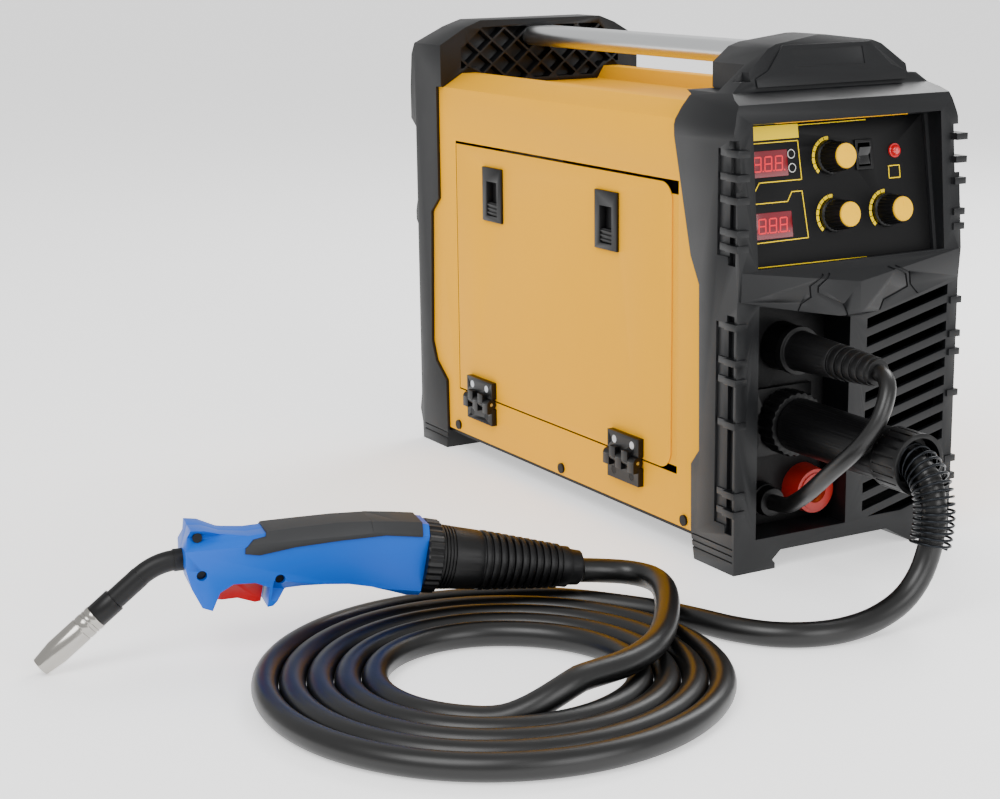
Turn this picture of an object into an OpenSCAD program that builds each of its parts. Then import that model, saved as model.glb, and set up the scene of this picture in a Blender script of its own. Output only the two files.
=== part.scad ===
// Compact wire-feed welder with its torch, lead and polarity cable.
// +X is to the right seen from the front, the front faces -Y, and the feet stand on z = 0.
// The origin is the centre of the floor area that the welder and its torch cover.

/* [Case] */
// Width over the front and rear bezels
body_w = 205; // [190:1:240]
// Depth of the case between the two bezel faces
body_d = 488; // [460:1:580]
// Height of the case side up to the shoulder bend
case_h = 326; // [320:1:380]
// Height of the cover's lower edge above the floor
cover_z = 19; // [17:0.5:22]
// Thickness of the sheet-steel covers and panels
sheet_t = 1.2; // [0.8:0.1:2]
// How far the bezels stand proud of the cover
bezel_proud = 2.9; // [2:0.1:4]
// Depth of the hand valley pressed into the roof
valley_d = 11; // [6:1:14]

/* [Door] */
// Length of the side door along the case
door_l = 332; // [300:1:340]
// Height of the side door
door_h = 218.5; // [200:0.5:225]
// Height of the door's lower edge
door_z = 60; // [56:1:66]
// Gap around the door
door_gap = 1.2; // [0.8:0.1:2]
// Wide gap with its stop strip at the door's front edge
door_front_gap = 8.5; // [6:0.5:10]
// Length of a hinge leaf
hinge_l = 44; // [36:1:50]
// Radius of a hinge pin
hinge_pin_r = 1.5; // [1:0.1:2]

/* [Latches] */
// Width of a latch frame
latch_w = 32; // [28:1:36]
// Height of a latch frame
latch_h = 46; // [40:1:52]
// Travel of a latch slider
latch_travel = 8; // [5:0.5:10]

/* [Control panel] */
// Lean of the control panel from upright
fascia_tilt = 9; // [6:0.5:12]
// Diameter of a knob's cap
knob_d = 18; // [15:0.5:20]
// Diameter of a knob's base
knob_base_d = 25; // [22:0.5:28]
// Length of a knob
knob_l = 21; // [16:1:26]
// Radius of a potentiometer shaft
pot_shaft_r = 3; // [2.5:0.1:3.2]

/* [Handle] */
// Width of the oval handle bar
bar_w = 36; // [30:1:40]
// Height of the oval handle bar
bar_h = 17; // [14:0.5:20]

/* [Connectors] */
// How far the power sockets stand out from their plate
socket_proud = 17; // [12:1:20]
// Length of the torch connector's grip in front of the case
euro_grip_l = 125; // [105:1:135]

/* [Torch and lead] */
// Diameter of the torch lead
lead_d = 17; // [15:0.5:17]
// Diameter of the polarity cable
jumper_d = 12; // [10:0.5:13]
// Radius of the torch nozzle at its widest
nozzle_r = 8.4; // [7.8:0.2:10]
// Length of the torch nozzle
nozzle_l = 47.8; // [40:0.1:47.8]

/* [Wire drive] */
// Radius of the wire spool
spool_r = 100; // [80:1:104]
// Width of the wire spool
spool_w = 55; // [45:1:60]
// Radius of the drive roller
roller_r = 15; // [12:0.5:17]
// Diameter of the welding wire between the rollers
wire_d = 0.8; // [0.6:0.1:1.2]

/* [Hidden] */
$fn = 48;
fit = 0.05;             // radial running clearance of pins, shafts and rollers
clear = 0.3;            // clearance between neighbouring pieces
yellow = "#FFC425";
charcoal = "#3A3B3D";
black = "#1C1C1E";
steel = "#B9BCC0";

// Offset from the centre of the case to the origin of the whole set
set_x = 248;
set_y = -1;
module placed() {
    translate([set_x, set_y, 0]) children();
}

// Case levels and faces
half_w = body_w / 2;
cover_x = half_w - bezel_proud;
yf = -body_d / 2;
yr = body_d / 2;
front_overlap = 10;     // how far the cover reaches past the bezel's front wall face
cover_yf = yf + front_overlap + 4;
cover_yr = yr - front_overlap - 4;
ridge_z = case_h + 11;
inner_x = cover_x - sheet_t;
floor_z = cover_z - 3;

// Half of the cover's section as x, z points from the side bend to the middle of the roof
function roof_half(x0, up) = [
    [x0, case_h + 0.57 * up], [cover_x - 18.6 + 0.27 * up, ridge_z + up], [cover_x - 33 - 0.55 * up, ridge_z + up],
    [cover_x - 40 - 0.55 * up, ridge_z - valley_d + up], [0, ridge_z - valley_d + up]];
function mirrored(pts) = concat(pts, [for (i = [len(pts) - 1:-1:0]) [-pts[i][0], pts[i][1]]]);
function cover_outline(x0, z0, up) = mirrored(concat([[x0, z0]], roof_half(x0, up)));

// Extrudes a y, z outline along x
module side_solid(pts, x0, x1) {
    translate([x0, 0, 0]) rotate([90, 0, 90]) linear_extrude(x1 - x0) polygon(pts);
}

// Extrudes an x, z outline along y
module front_solid(pts, y0, y1) {
    translate([0, y1, 0]) rotate([90, 0, 0]) linear_extrude(y1 - y0) polygon(pts);
}

// Box from two corners
module box(a, b) {
    translate(a) cube(b - a);
}

// Cylinder along x, y
module x_rod(r, x0, x1, y, z) {
    translate([x0, y, z]) rotate([0, 90, 0]) cylinder(r = r, h = x1 - x0);
}
module y_rod(r, y0, y1, x, z, r2 = -1) {
    translate([x, y0, z]) rotate([-90, 0, 0]) cylinder(r1 = r, r2 = r2 < 0 ? r : r2, h = y1 - y0);
}

// Door place
door_y1 = door_l / 2 + 8.5;
door_y0 = door_y1 - door_l;
door_z1 = door_z + door_h;
open_y0 = door_y0 - door_front_gap;
open_y1 = door_y1 + door_gap;
hinge_t = 5;
hinge_x = -cover_x - hinge_t;
hinge_z = door_z - 2.6;
hinge_y = [door_y1 - 44, door_y0 + 58];
hinge_half = 19;
knuckle_r = 4.4;
latch_y = [door_y1 - 66, door_y0 + 87];
latch_z = door_z1 - 15 - latch_h / 2;
latch_proud = 2.5;
latch_hole = [17, -18, 11];

// Door opening cut through one side wall
module door_opening() {
    x0 = -cover_x - 1;
    x1 = -inner_x + 1;
    box([x0, open_y0, door_z - door_gap], [x1, open_y1, door_z1 + 2.2]);
}

module base_pan() color(black) placed() {
    w = inner_x;
    difference() {
        box([-w, plate_y + plate_t + 2, floor_z], [w, cover_yr, floor_z + 19]);
        box([-w + sheet_t, plate_y + plate_t + 2 + sheet_t, floor_z + sheet_t], [w - sheet_t, cover_yr - sheet_t, floor_z + 20]);
        for (x = [-20, 20], y = [-60, 0, 60]) translate([x, y, floor_z - 1]) cylinder(r = 4, h = 4);
        for (y = case_screw_y) x_rod(case_screw_r, -w - 1, w + 1, y, case_screw_z);
    }
}

module cover() color(yellow) placed() {
    difference() {
        front_solid(cover_outline(cover_x, cover_z, 0), cover_yf, cover_yr);
        front_solid(cover_outline(inner_x, cover_z - 1, -sheet_t), cover_yf - 1, cover_yr + 1);
        door_opening();
        for (s = [-1, 1], y = case_screw_y) x_rod(case_screw_r, s < 0 ? -cover_x - 1 : inner_x - 1,
            s < 0 ? -inner_x + 1 : cover_x + 1, y, case_screw_z);
        for (y = hinge_y, dy = [-12.5, 12.5]) x_rod(1.6, -cover_x - 1, -inner_x + 1, y + dy, hinge_z - 12.5);
    }
    // stop strip behind the wide front gap
    box([-inner_x, open_y0 - 6, door_z + 4], [-inner_x + sheet_t, door_y0 + 5, door_z1 - 8]);
}

module door() color(yellow) placed() {
    t = sheet_t;
    r = 14;
    difference() {
        union() {
            // the front corners are round, the rear ones square behind the bezel
            box([-cover_x, door_y0 + r, door_z], [-cover_x + t, door_y1, door_z1]);
            box([-cover_x, door_y0, door_z + r], [-cover_x + t, door_y0 + r + 1, door_z1 - r]);
            for (z = [door_z + r, door_z1 - r]) x_rod(r, -cover_x, -cover_x + t, door_y0 + r, z);
            // stiffening flange inside along the top, clear of the latches
            box([-cover_x + t, door_y0 + 20, door_z1 - 9], [-cover_x + 6, door_y1 - 20, door_z1 - 9 + t]);
        }
        for (y = latch_y) box([-cover_x - 1, y - latch_w / 2 + 3, latch_z - latch_h / 2 + 3],
            [-cover_x + 8, y + latch_w / 2 - 3, latch_z + latch_h / 2 - 3]);
        for (y = latch_y) box([-cover_x + t, y - 9, door_z1 - 12], [-cover_x + 8, y + 9, door_z1]);
        for (y = hinge_y, dy = [-12.5, 12.5]) x_rod(1.6, -cover_x - 1, -cover_x + t + 1, y + dy, hinge_z + 12.5);
    }
}

// One hinge leaf with its knuckles: up = 1 for the door leaf, -1 for the case leaf
module hinge_leaf(y, up) {
    step = hinge_l / 5;
    gap = 0.2;
    difference() {
        union() {
            box([hinge_x, y - hinge_l / 2, up > 0 ? hinge_z + knuckle_r + gap : hinge_z - hinge_half],
                [-cover_x, y + hinge_l / 2, up > 0 ? hinge_z + hinge_half : hinge_z - knuckle_r - gap]);
            for (i = [0:4]) if ((i % 2 == 0) == (up < 0)) {
                y_rod(knuckle_r, y - hinge_l / 2 + i * step + gap / 2, y - hinge_l / 2 + (i + 1) * step - gap / 2,
                    hinge_x, hinge_z);
                box([hinge_x - knuckle_r, y - hinge_l / 2 + i * step + gap / 2, up > 0 ? hinge_z : hinge_z - 8],
                    [hinge_x, y - hinge_l / 2 + (i + 1) * step - gap / 2, up > 0 ? hinge_z + 8 : hinge_z]);
                box([hinge_x - 0.5, y - hinge_l / 2 + i * step + gap / 2, up > 0 ? hinge_z + 3 : hinge_z - 8],
                    [hinge_x + 2, y - hinge_l / 2 + (i + 1) * step - gap / 2, up > 0 ? hinge_z + 8 : hinge_z - 3]);
            }
        }
        y_rod(hinge_pin_r + (up > 0 ? fit : 0), y - hinge_l, y + hinge_l, hinge_x, hinge_z);
        for (dy = [-12.5, 12.5]) x_rod(1.6, hinge_x - 10, -cover_x + 1, y + dy, hinge_z + up * 12.5);
        for (dy = [-12.5, 12.5]) x_rod(3.3, hinge_x - 10, hinge_x + 1.6, y + dy, hinge_z + up * 12.5);
    }
}

module door_hinge_leaves() color(black) placed() for (y = hinge_y) hinge_leaf(y, 1);
module case_hinge_leaves() color(black) placed() for (y = hinge_y) hinge_leaf(y, -1);
module hinge_pins() color(steel) placed()
    for (y = hinge_y) y_rod(hinge_pin_r, y - hinge_l / 2 + 0.5, y + hinge_l / 2 - 0.5, hinge_x, hinge_z);

// Countersunk hinge screw
module hinge_screw(y, z) {
    x_rod(3.1, hinge_x + 0.1, hinge_x + 1.6, y, z);
    x_rod(1.6, hinge_x + 1.5, -inner_x + 3, y, z);
}

module door_screws() color(steel) placed()
    for (y = hinge_y, dy = [-12.5, 12.5]) hinge_screw(y + dy, hinge_z + 12.5);

case_screw_r = 2;
case_screw_z = cover_z + 6.3;
case_screw_y = [cover_yf + 53, 0, cover_yr - 53];
module case_screws() color(black) placed() {
    for (s = [-1, 1], y = case_screw_y) {
        x_rod(4.2, s < 0 ? -cover_x - 1.8 : cover_x, s < 0 ? -cover_x : cover_x + 1.8, y, case_screw_z);
        x_rod(case_screw_r, s < 0 ? -cover_x - 0.5 : inner_x - sheet_t - 4, s < 0 ? -inner_x + sheet_t + 4 : cover_x + 0.5,
            y, case_screw_z);
    }
    for (y = hinge_y, dy = [-12.5, 12.5]) hinge_screw(y + dy, hinge_z - 12.5);
}

// Latch frame: a rim on the door skin with a guide box behind it
module latch_frame(y) {
    w = latch_w / 2;
    h = latch_h / 2;
    difference() {
        union() {
            box([-cover_x - latch_proud, y - w, latch_z - h], [-cover_x, y + w, latch_z + h]);
            box([-cover_x - 0.5, y - w + 3.2, latch_z - h + 3.2], [-cover_x + 9, y + w - 3.2, latch_z + h - 3.2]);
        }
        box([-cover_x - 5, y - latch_hole[0] / 2, latch_z + latch_hole[1]],
            [-cover_x + 7.5, y + latch_hole[0] / 2, latch_z + latch_hole[2]]);
        box([-cover_x + 2, y - 6.2, latch_z], [-cover_x + 5.2, y + 6.2, latch_z + h + 5]);
    }
}

module latch_frames() color(black) placed() for (y = latch_y) latch_frame(y);

// Latch slider: finger cup and bolt tongue, drawn at its lowered rest place
module latch_slider(y) {
    w = latch_hole[0] / 2 - clear;
    z0 = latch_z + latch_hole[1] + clear;
    box([-cover_x - 1, y - w, z0], [-cover_x + 5, y + w, z0 + 11]);
    for (i = [0:2]) box([-cover_x - 2, y - w, z0 + 1.5 + i * 3.4], [-cover_x - 0.9, y + w, z0 + 3 + i * 3.4]);
    box([-cover_x + 2.3, y - 5.8, z0 + 10.9], [-cover_x + 4.9, y + 5.8, door_z1 - 1]);
}

module rear_latch_slider() color(black) placed() latch_slider(latch_y[0]);
module front_latch_slider() color(black) placed() latch_slider(latch_y[1]);

// Front bezel outlines
fs = case_h - 326;      // shift of everything that follows the case height
brow_z = 222;
plate_y = yf + 30;
plate_t = 3;
front_side = [[yf, 0], [yf, 200], [yf - 2, brow_z + 2], [yf + 7, 326 + fs], [yf + 10, 340 + fs], [yf + 27, 347 + fs],
    [yf + 30, 355 + fs], [yf + 37, 378 + fs], [yf + 42, 384 + fs], [yf + 79, 384 + fs], [yf + 84, 376 + fs],
    [yf + 84, 347 + fs], [yf + 72, 344 + fs], [yf + 80.5, 326 + fs], [yf + 80, 314 + fs], [yf + 58, 229],
    [yf + 47, 209], [yf + 45, 85], [yf + 55, 73], [yf + 54.3, 20], [yf + 50, 0]];
front_outline = mirrored([[half_w, 0], [half_w, 322 + fs], [half_w - 4, 335 + fs], [half_w - 8, 343 + fs],
    [52, 376 + fs], [44, 379 + fs], [4, 384 + fs]]);
fascia_y = yf + 9;
fascia_z = brow_z;
fascia_w = 166;
fascia_h = 104;
fascia_t = 3;
bar_z = 367 + fs;
bar_y0 = yf + 82;
bar_y1 = yr - 46;

// Frame of the tilted control panel: x right, y into the case, z up the panel
module on_fascia() translate([0, fascia_y, fascia_z]) rotate([-fascia_tilt, 0, 0]) children();

// Oval handle bar section between two y values
module bar_solid(y0, y1, grow = 0) {
    r = bar_h / 2 + grow;
    for (s = [-1, 1]) y_rod(r, y0, y1, s * (bar_w - bar_h) / 2, bar_z);
    box([-(bar_w - bar_h) / 2, y0, bar_z - r], [(bar_w - bar_h) / 2, y1, bar_z + r]);
}

// Pairs of grip ribs wrapped round a corner column
rib_front_z = [44, 58, 110, 142, 156, 182, 238, 249, 272, 288, 305];
module corner_ribs(y0, y1, out) for (s = [-1, 1], z = rib_front_z)
    box([s > 0 ? half_w - 8 : -half_w - out, y0, z], [s > 0 ? half_w + out : -half_w + 8, y1, z + 5]);

// Outer shape of the front bezel
module front_block() intersection() {
    side_solid(front_side, -half_w, half_w);
    front_solid(front_outline, yf - 20, yf + 100);
}

// Brow below the control panel: a wedge in plan with a shallow V along its lower edge
module brow_shape(g) intersection() {
    translate([0, 0, 180]) linear_extrude(50)
        polygon([[-half_w, yf + 6], [-half_w, yf - 2 + g], [0, yf - 11 + g], [half_w, yf - 2 + g], [half_w, yf + 6]]);
    front_solid(mirrored([[half_w - 2, brow_z + 4], [half_w - 2, 203], [55, 193], [5, 183.5]]), yf - 20, yf + 6);
    side_solid([[yf + 6, 181], [yf - 1 + g, 181], [yf - 13 + g, 188], [yf - 11.5 + g, 209], [yf - 2 + g, brow_z + 2],
        [yf + 6, brow_z + 2]], -half_w, half_w);
}

// Pairs of engraved lines that fork on the brow
brow_lines = [[[-32, 217], [-44, 210], [-43, 202], [-51, 198], [-55, 190]],
    [[-26, 217], [-37, 209], [-37, 204], [-15, 194], [-10, 184]], [[29, 217], [45, 210], [47, 201], [23, 194], [19, 186]],
    [[36, 217], [49, 211], [50, 202], [58, 194]]];
function line_quad(a, b, w) = let(d = unit(b - a) * w / 2, n = [-d[1], d[0]]) [a - d - n, b + d - n, b + d + n, a - d + n];
module brow() difference() {
    brow_shape(0);
    difference() {
        for (l = brow_lines, i = [0:len(l) - 2]) front_solid(line_quad(l[i], l[i + 1], 1.5), yf - 15, yf + 1);
        brow_shape(1);
    }
}

// Slanted face of the hood grown outwards by g
module hood_slab(g) side_solid([[yf + 60, 349 + fs], [yf + 28 - g, 349 + fs], [yf + 30 - g, 355 + fs], [yf + 37 - g, 378 + fs],
    [yf + 60, 378 + fs]], -half_w, half_w);

// Name plate block with its blank sunk field, without any lettering
module name_block() intersection() {
    hood_slab(2.2);
    difference() {
        front_solid(mirrored([[68, 350 + fs], [68, 356 + fs], [56, 361 + fs], [40, 378 + fs]]), yf, yf + 58);
        difference() {
            front_solid(mirrored([[32, 362.5 + fs], [32, 375 + fs]]), yf, yf + 50);
            hood_slab(1.2);
        }
    }
}

// The cover's sheet with a little room round it
module cover_band() difference() {
    front_solid(cover_outline(cover_x + 0.15, floor_z - 20, 0.15), cover_yf - 0.5, yf + 200);
    front_solid(cover_outline(inner_x - 0.15, floor_z - 30, -sheet_t - 0.15), cover_yf - 2, yf + 201);
}

// Connector bay outline, grown by g
function bay_outline(g) = [[-83 - g, 24.5 - g], [g, 24.5 - g], [g, 182 + g], [-83 - g, 198 + g]];

module front_bezel() color(charcoal) placed() {
    grille_x0 = 16;
    grille_x1 = half_w - 10;
    difference() {
        union() {
            difference() {
                union() {
                    front_block();
                    brow();
                    name_block();
                    corner_ribs(yf - 2, yf + 12, 2.5);
                }
                front_solid(cover_outline(cover_x + 0.15, floor_z, 0.15), cover_yf - 0.5, yf + 200);
                // channels along the corner columns, crossed by the ribs
                difference() {
                    for (s = [-1, 1], zz = [[30, 192], [228, 316]]) {
                        box([s > 0 ? half_w - 4.5 : -half_w - 5, yf + 3, zz[0]], [s > 0 ? half_w + 5 : -half_w + 4.5, yf + 12, zz[1]]);
                        box([s > 0 ? half_w - 1.6 : -half_w - 5, yf + 3, zz[0] + 6], [s > 0 ? half_w + 5 : -half_w + 1.6, yf + 25, zz[1] - 6]);
                    }
                    corner_ribs(yf - 2, yf + 22, 2.5);
                }
                // deep pockets beside the name plate
                for (s = [-1, 1]) box([s > 0 ? 72 : -82, yf, 354 + fs], [s > 0 ? 82 : -72, yf + 40, 371 + fs]);
            }
            // rim that carries the control panel
            intersection() {
                front_block();
                difference() {
                    on_fascia() box([-fascia_w / 2 - 5, -16, -1.5], [fascia_w / 2 + 5, fascia_t + 2, fascia_h + 1]);
                    cover_band();
                }
            }
            // walls round the connector bay
            front_solid(bay_outline(2), cover_yf - 2, plate_y + plate_t);
        }
        // shoulders beside the raised middle of the hood
        for (s = [-1, 1]) box([s > 0 ? 66 : -200, yf + 45, 346.5 + fs], [s > 0 ? 200 : -66, yf + 120, 420 + fs]);
        // hollow under the hood
        box([-40, yf + 42, ridge_z - valley_d - 2], [40, yf + 76, bar_z - bar_h / 2 - 4]);
        // socket of the handle bar
        bar_solid(bar_y0 - 22, yf + 120);
        // tilted control opening with a ledge behind the panel
        on_fascia() {
            box([-fascia_w / 2 - 3, -60, 1], [fascia_w / 2 + 3, -3, fascia_h - 1]);
            box([-fascia_w / 2, -10, 1.2], [fascia_w / 2, fascia_t, fascia_h - 1.2]);
            box([-fascia_w / 2 + 4, -10, 5], [fascia_w / 2 - 4, 40, fascia_h - 5]);
        }
        // connector bay
        front_solid(bay_outline(0), yf - 20, plate_y + plate_t + 1);
        // space between the feet
        front_solid([[-65, -1], [-65, 4], [-67.5, 7], [-60, 13.5], [40, 13.5], [66, -1]], yf - 20, yf + 100);
        // slanted louvres
        for (k = [0:12]) intersection() {
            box([grille_x0, yf - 20, 26], [grille_x1, yf + 20, 203]);
            translate([grille_x1, 0, 197 - 14 * k]) rotate([0, -13.4, 0]) box([-90, yf - 20, -7.5], [10, yf + 20, 0]);
        }
        // air space behind the louvres
        box([grille_x0 - 3, yf + 4, 22], [grille_x1 + 2, cover_yf + 1, 204]);
        // grooves round the feet
        for (z = [9, 14, 19], s = [-1, 1])
            box([s > 0 ? half_w - 0.8 : -half_w - 1, yf + 2, z], [s > 0 ? half_w + 1 : -half_w + 0.8, yf + 70, z + 1.2]);
    }
}

// Rear bezel outlines
rear_side = [[yr - 48, 0], [yr - 49.5, 18], [yr - 48.5, 63], [yr - 29, 78], [yr - 22, 95], [yr - 26, 214],
    [yr - 40, 227], [yr - 40, 326 + fs], [yr - 49, 326 + fs], [yr - 49, 382 + fs], [yr - 12, 382 + fs], [yr + 6, 352 + fs],
    [yr + 9, 323 + fs], [yr + 9, 295 + fs], [yr, 288 + fs], [yr, 222], [yr + 3, 212], [yr + 3, 204], [yr, 200],
    [yr, 42], [yr + 3, 27], [yr - 1, 15], [yr - 2, 0]];
rear_outline = mirrored([[half_w, 0], [half_w, 362 + fs], [78, 376 + fs], [62, 382 + fs]]);
lattice = [12.5, 10.5];
fan_c = [-8, 170];
fan_r = 57;
fan_box = 120;
power_c = [66, 262];
gland_rear = [66, 60];
gas_c = [-66, 60];
module rear_bezel() color(charcoal) placed() {
    difference() {
        intersection() {
            side_solid(rear_side, -half_w, half_w);
            front_solid(rear_outline, yr - 100, yr + 20);
        }
        front_solid(cover_outline(cover_x + 0.15, floor_z, 0.15), yr - 200, cover_yr + 0.5);
        // lattice pockets in the face towards the handle, left as diamonds between crossed ribs
        intersection() {
            front_solid(mirrored([[54, ridge_z - valley_d + 4], [66, ridge_z + 4], [82, ridge_z + 4], [82, 360 + fs],
                [61, 376 + fs]]), yr - 60, yr - 38);
            for (i = [-8:8], j = [0:5]) if ((i + j) % 2 == 0) translate([i * lattice[0], 0, 333 + fs + j * lattice[1]])
                front_solid([[-lattice[0] + 1.4, 0], [0, -lattice[1] + 1.2], [lattice[0] - 1.4, 0], [0, lattice[1] - 1.2]],
                    yr - 60, yr - 38);
        }
        // hollow behind the lattice
        box([-74, yr - 30, ridge_z + 4], [74, yr - 16, 366 + fs]);
        bar_solid(yr - 80, bar_y1);
        // slots of the fan guard
        for (k = [-4:4]) box([fan_c[0] - sqrt(pow(fan_r, 2) - pow(12 * k, 2)), cover_yr - 2, fan_c[1] + 12 * k - 4],
            [fan_c[0] + sqrt(pow(fan_r, 2) - pow(12 * k, 2)), yr + 20, fan_c[1] + 12 * k + 4]);
        // switch, mains gland and gas inlet openings
        box([power_c[0] - 11, yr - 20, power_c[1] - 14], [power_c[0] + 11, yr + 20, power_c[1] + 14]);
        y_rod(8, yr - 20, yr + 20, gland_rear[0], gland_rear[1]);
        y_rod(6, yr - 20, yr + 20, gas_c[0], gas_c[1]);
        // space between the feet
        front_solid([[-66, -1], [-60, 13.5], [60, 13.5], [66, -1]], yr - 100, yr + 20);
        for (z = [9, 14]) for (s = [-1, 1])
            box([s > 0 ? half_w - 0.8 : -half_w - 1, yr - 70, z], [s > 0 ? half_w + 1 : -half_w + 0.8, yr - 6, z + 1.2]);
    }
}

module handle_bar() color("#D8DADC") placed() difference() {
    bar_solid(bar_y0 - 21.8, bar_y1, 0);
    bar_solid(bar_y0 - 30, bar_y1 + 10, -1.8);
}

// Control panel
display_c = [[-61, 75], [-61, 31]];
knob_c = [[-7, 76], [-7, 34], [42, 34]];
rocker_c = [25, 76];
lamp_c = [54, 77];
module fascia() color(black) placed() on_fascia() difference() {
    box([-fascia_w / 2, 0, 1.2], [fascia_w / 2, fascia_t, fascia_h - 1.2]);
    for (c = display_c) box([c[0] - 17, -1, c[1] - 9.5], [c[0] + 17, 10, c[1] + 9.5]);
    for (c = knob_c) y_rod(3.8, -1, 10, c[0], c[1]);
    box([rocker_c[0] - 6.6, -1, rocker_c[1] - 9.6], [rocker_c[0] + 6.6, 10, rocker_c[1] + 9.6]);
    y_rod(3.6, -1, 10, lamp_c[0], lamp_c[1]);
}

module display_windows() color("#8E1420") placed() on_fascia()
    for (c = display_c) box([c[0] - 17, 0.3, c[1] - 9.5], [c[0] + 17, 9, c[1] + 9.5]);

// Knob with a skirt, a grip and a cap; it turns about the panel's normal
module knob(c) on_fascia() difference() {
    union() {
        y_rod(knob_base_d / 2, -4, -0.4, c[0], c[1]);
        y_rod(knob_d / 2 + 1.2, -knob_l + 2, -3.9, c[0], c[1], knob_base_d / 2 - 1);
        y_rod(knob_d / 2, -knob_l, -knob_l + 2.01, c[0], c[1]);
    }
    y_rod(pot_shaft_r, -9, 1, c[0], c[1]);
}
module wire_speed_knob() color(black) placed() knob(knob_c[0]);
module voltage_knob() color(black) placed() knob(knob_c[1]);
module inductance_knob() color(black) placed() knob(knob_c[2]);

// Rocker housings of the mode switch and the rear mains switch
rocker_tilt = 9;
power_tilt = 10;
module switch_frames() color(black) placed() {
    on_fascia() difference() {
        box([rocker_c[0] - 8, -1.5, rocker_c[1] - 11], [rocker_c[0] + 8, 0, rocker_c[1] + 11]);
        box([rocker_c[0] - 5.5, -5, rocker_c[1] - 8.5], [rocker_c[0] + 5.5, 5, rocker_c[1] + 8.5]);
    }
    on_fascia() difference() {
        box([rocker_c[0] - 6.6, -0.01, rocker_c[1] - 9.6], [rocker_c[0] + 6.6, 17, rocker_c[1] + 9.6]);
        box([rocker_c[0] - 5.5, -5, rocker_c[1] - 8.5], [rocker_c[0] + 5.5, 14, rocker_c[1] + 8.5]);
        x_rod(1 + fit, rocker_c[0] - 6.2, rocker_c[0] + 6.2, 3.6, rocker_c[1]);
    }
    difference() {
        union() {
            box([power_c[0] - 13, yr, power_c[1] - 16], [power_c[0] + 13, yr + 2, power_c[1] + 16]);
            box([power_c[0] - 11, yr - 24, power_c[1] - 14], [power_c[0] + 11, yr + 0.01, power_c[1] + 14]);
        }
        box([power_c[0] - 9, yr - 20, power_c[1] - 12], [power_c[0] + 9, yr + 5, power_c[1] + 12]);
        x_rod(1.2 + fit, power_c[0] - 10.2, power_c[0] + 10.2, yr - 4, power_c[1]);
    }
}

// Rocker body: a shallow V faced cap on a round back, turning about x through its pivot
module rocker(w, h, lift, pin_r) {
    rotate([90, 0, 90]) linear_extrude(w, center = true) {
        polygon([[0, -h], [-lift - 1.6, -h * 0.92], [-lift, 0], [-lift - 1.6, h * 0.92], [0, h]]);
        circle(r = lift);
    }
    x_rod(pin_r, -w / 2 - 0.8, w / 2 + 0.8, 0, 0);
}
module mode_rocker() color("#2A2A2C") placed() on_fascia() translate([rocker_c[0], 3.6, rocker_c[1]])
    rotate([rocker_tilt, 0, 0]) rocker(10.6, 6.9, 4.2, 1);
module power_rocker() color("#B01820") placed() translate([power_c[0], yr - 4, power_c[1]])
    rotate([0, 0, 180]) rotate([power_tilt, 0, 0]) rocker(17.4, 9.8, 5.4, 1.2);

module indicator_lamp() color("#D0182A") placed() on_fascia() {
    y_rod(5.2, -1.4, 0, lamp_c[0], lamp_c[1]);
    y_rod(3.6, -0.01, 8, lamp_c[0], lamp_c[1]);
    translate([lamp_c[0], -1.4, lamp_c[1]]) intersection() {
        sphere(r = 4.2);
        box([-6, -6, -6], [6, 0.1, 6]);
    }
}

module control_board() color("#1E6B3A") placed() on_fascia() difference() {
    union() {
        box([-80, 20, 6], [80, 21.6, 96]);
        for (c = knob_c) {
            y_rod(8, 8, 20.01, c[0], c[1]);
            y_rod(pot_shaft_r - fit, -8.8, 8.01, c[0], c[1]);
        }
        for (c = display_c) box([c[0] - 15, 9, c[1] - 8], [c[0] + 15, 20.01, c[1] + 8]);
        for (x = [-74, 74], z = [12, 90]) translate([x, fascia_t, z]) rotate([-90, 0, 0]) cylinder(r = 3, h = 17.1);
    }
    for (x = [-74, 74], z = [12, 90]) translate([x, 10, z]) rotate([-90, 0, 0]) cylinder(r = 1.5, h = 30);
}

// Front connectors
euro_c = [-40, 104];
black_c = [-41, 160];
red_c = [-18.5, 49];
gland_c = [-58, 46];
module connector_plate() color("#18181A") placed() difference() {
    front_solid(bay_outline(0), plate_y, plate_y + plate_t);
    y_rod(15.8, plate_y - 1, plate_y + 9, euro_c[0], euro_c[1]);
    y_rod(13.8, plate_y - 1, plate_y + 9, black_c[0], black_c[1]);
    y_rod(13.8, plate_y - 1, plate_y + 9, red_c[0], red_c[1]);
    y_rod(8, plate_y - 1, plate_y + 9, gland_c[0], gland_c[1]);
}

// Twist-lock power socket on the plate
socket_y = plate_y - socket_proud - 1;
brass_y = socket_y + 5;
module power_socket(c) difference() {
    union() {
        y_rod(16.8, plate_y - socket_proud, plate_y, c[0], c[1], 18.3);
        y_rod(13.8, socket_y, plate_y + 18, c[0], c[1]);
    }
    y_rod(9, plate_y - 30, plate_y + 30, c[0], c[1]);
}
module black_socket() color(black) placed() power_socket(black_c);
module red_socket() color("#A83A2C") placed() power_socket(red_c);
module socket_brass() color("#C9A24B") placed() for (c = [black_c, red_c]) difference() {
    y_rod(9, brass_y, plate_y + 34, c[0], c[1]);
    y_rod(6.5, brass_y - 1, brass_y + 16, c[0], c[1]);
}

module polarity_plug() color(black) placed() {
    x = black_c[0];
    z = black_c[1];
    y0 = socket_y;
    y_rod(18, y0 - 6, y0, x, z);
    y_rod(12.8, y0 - 50, y0 - 5.9, x, z, 14.8);
    for (i = [0:4]) y_rod(12.6 - i * 0.5, y0 - 59 - i * 7.6, y0 - 53 - i * 7.6, x, z);
    y_rod(9.4, y0 - 93, y0 - 49.9, x, z, 11.2);
    y_rod(6.5, y0 - 0.01, brass_y + 16, x, z);
}

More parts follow.
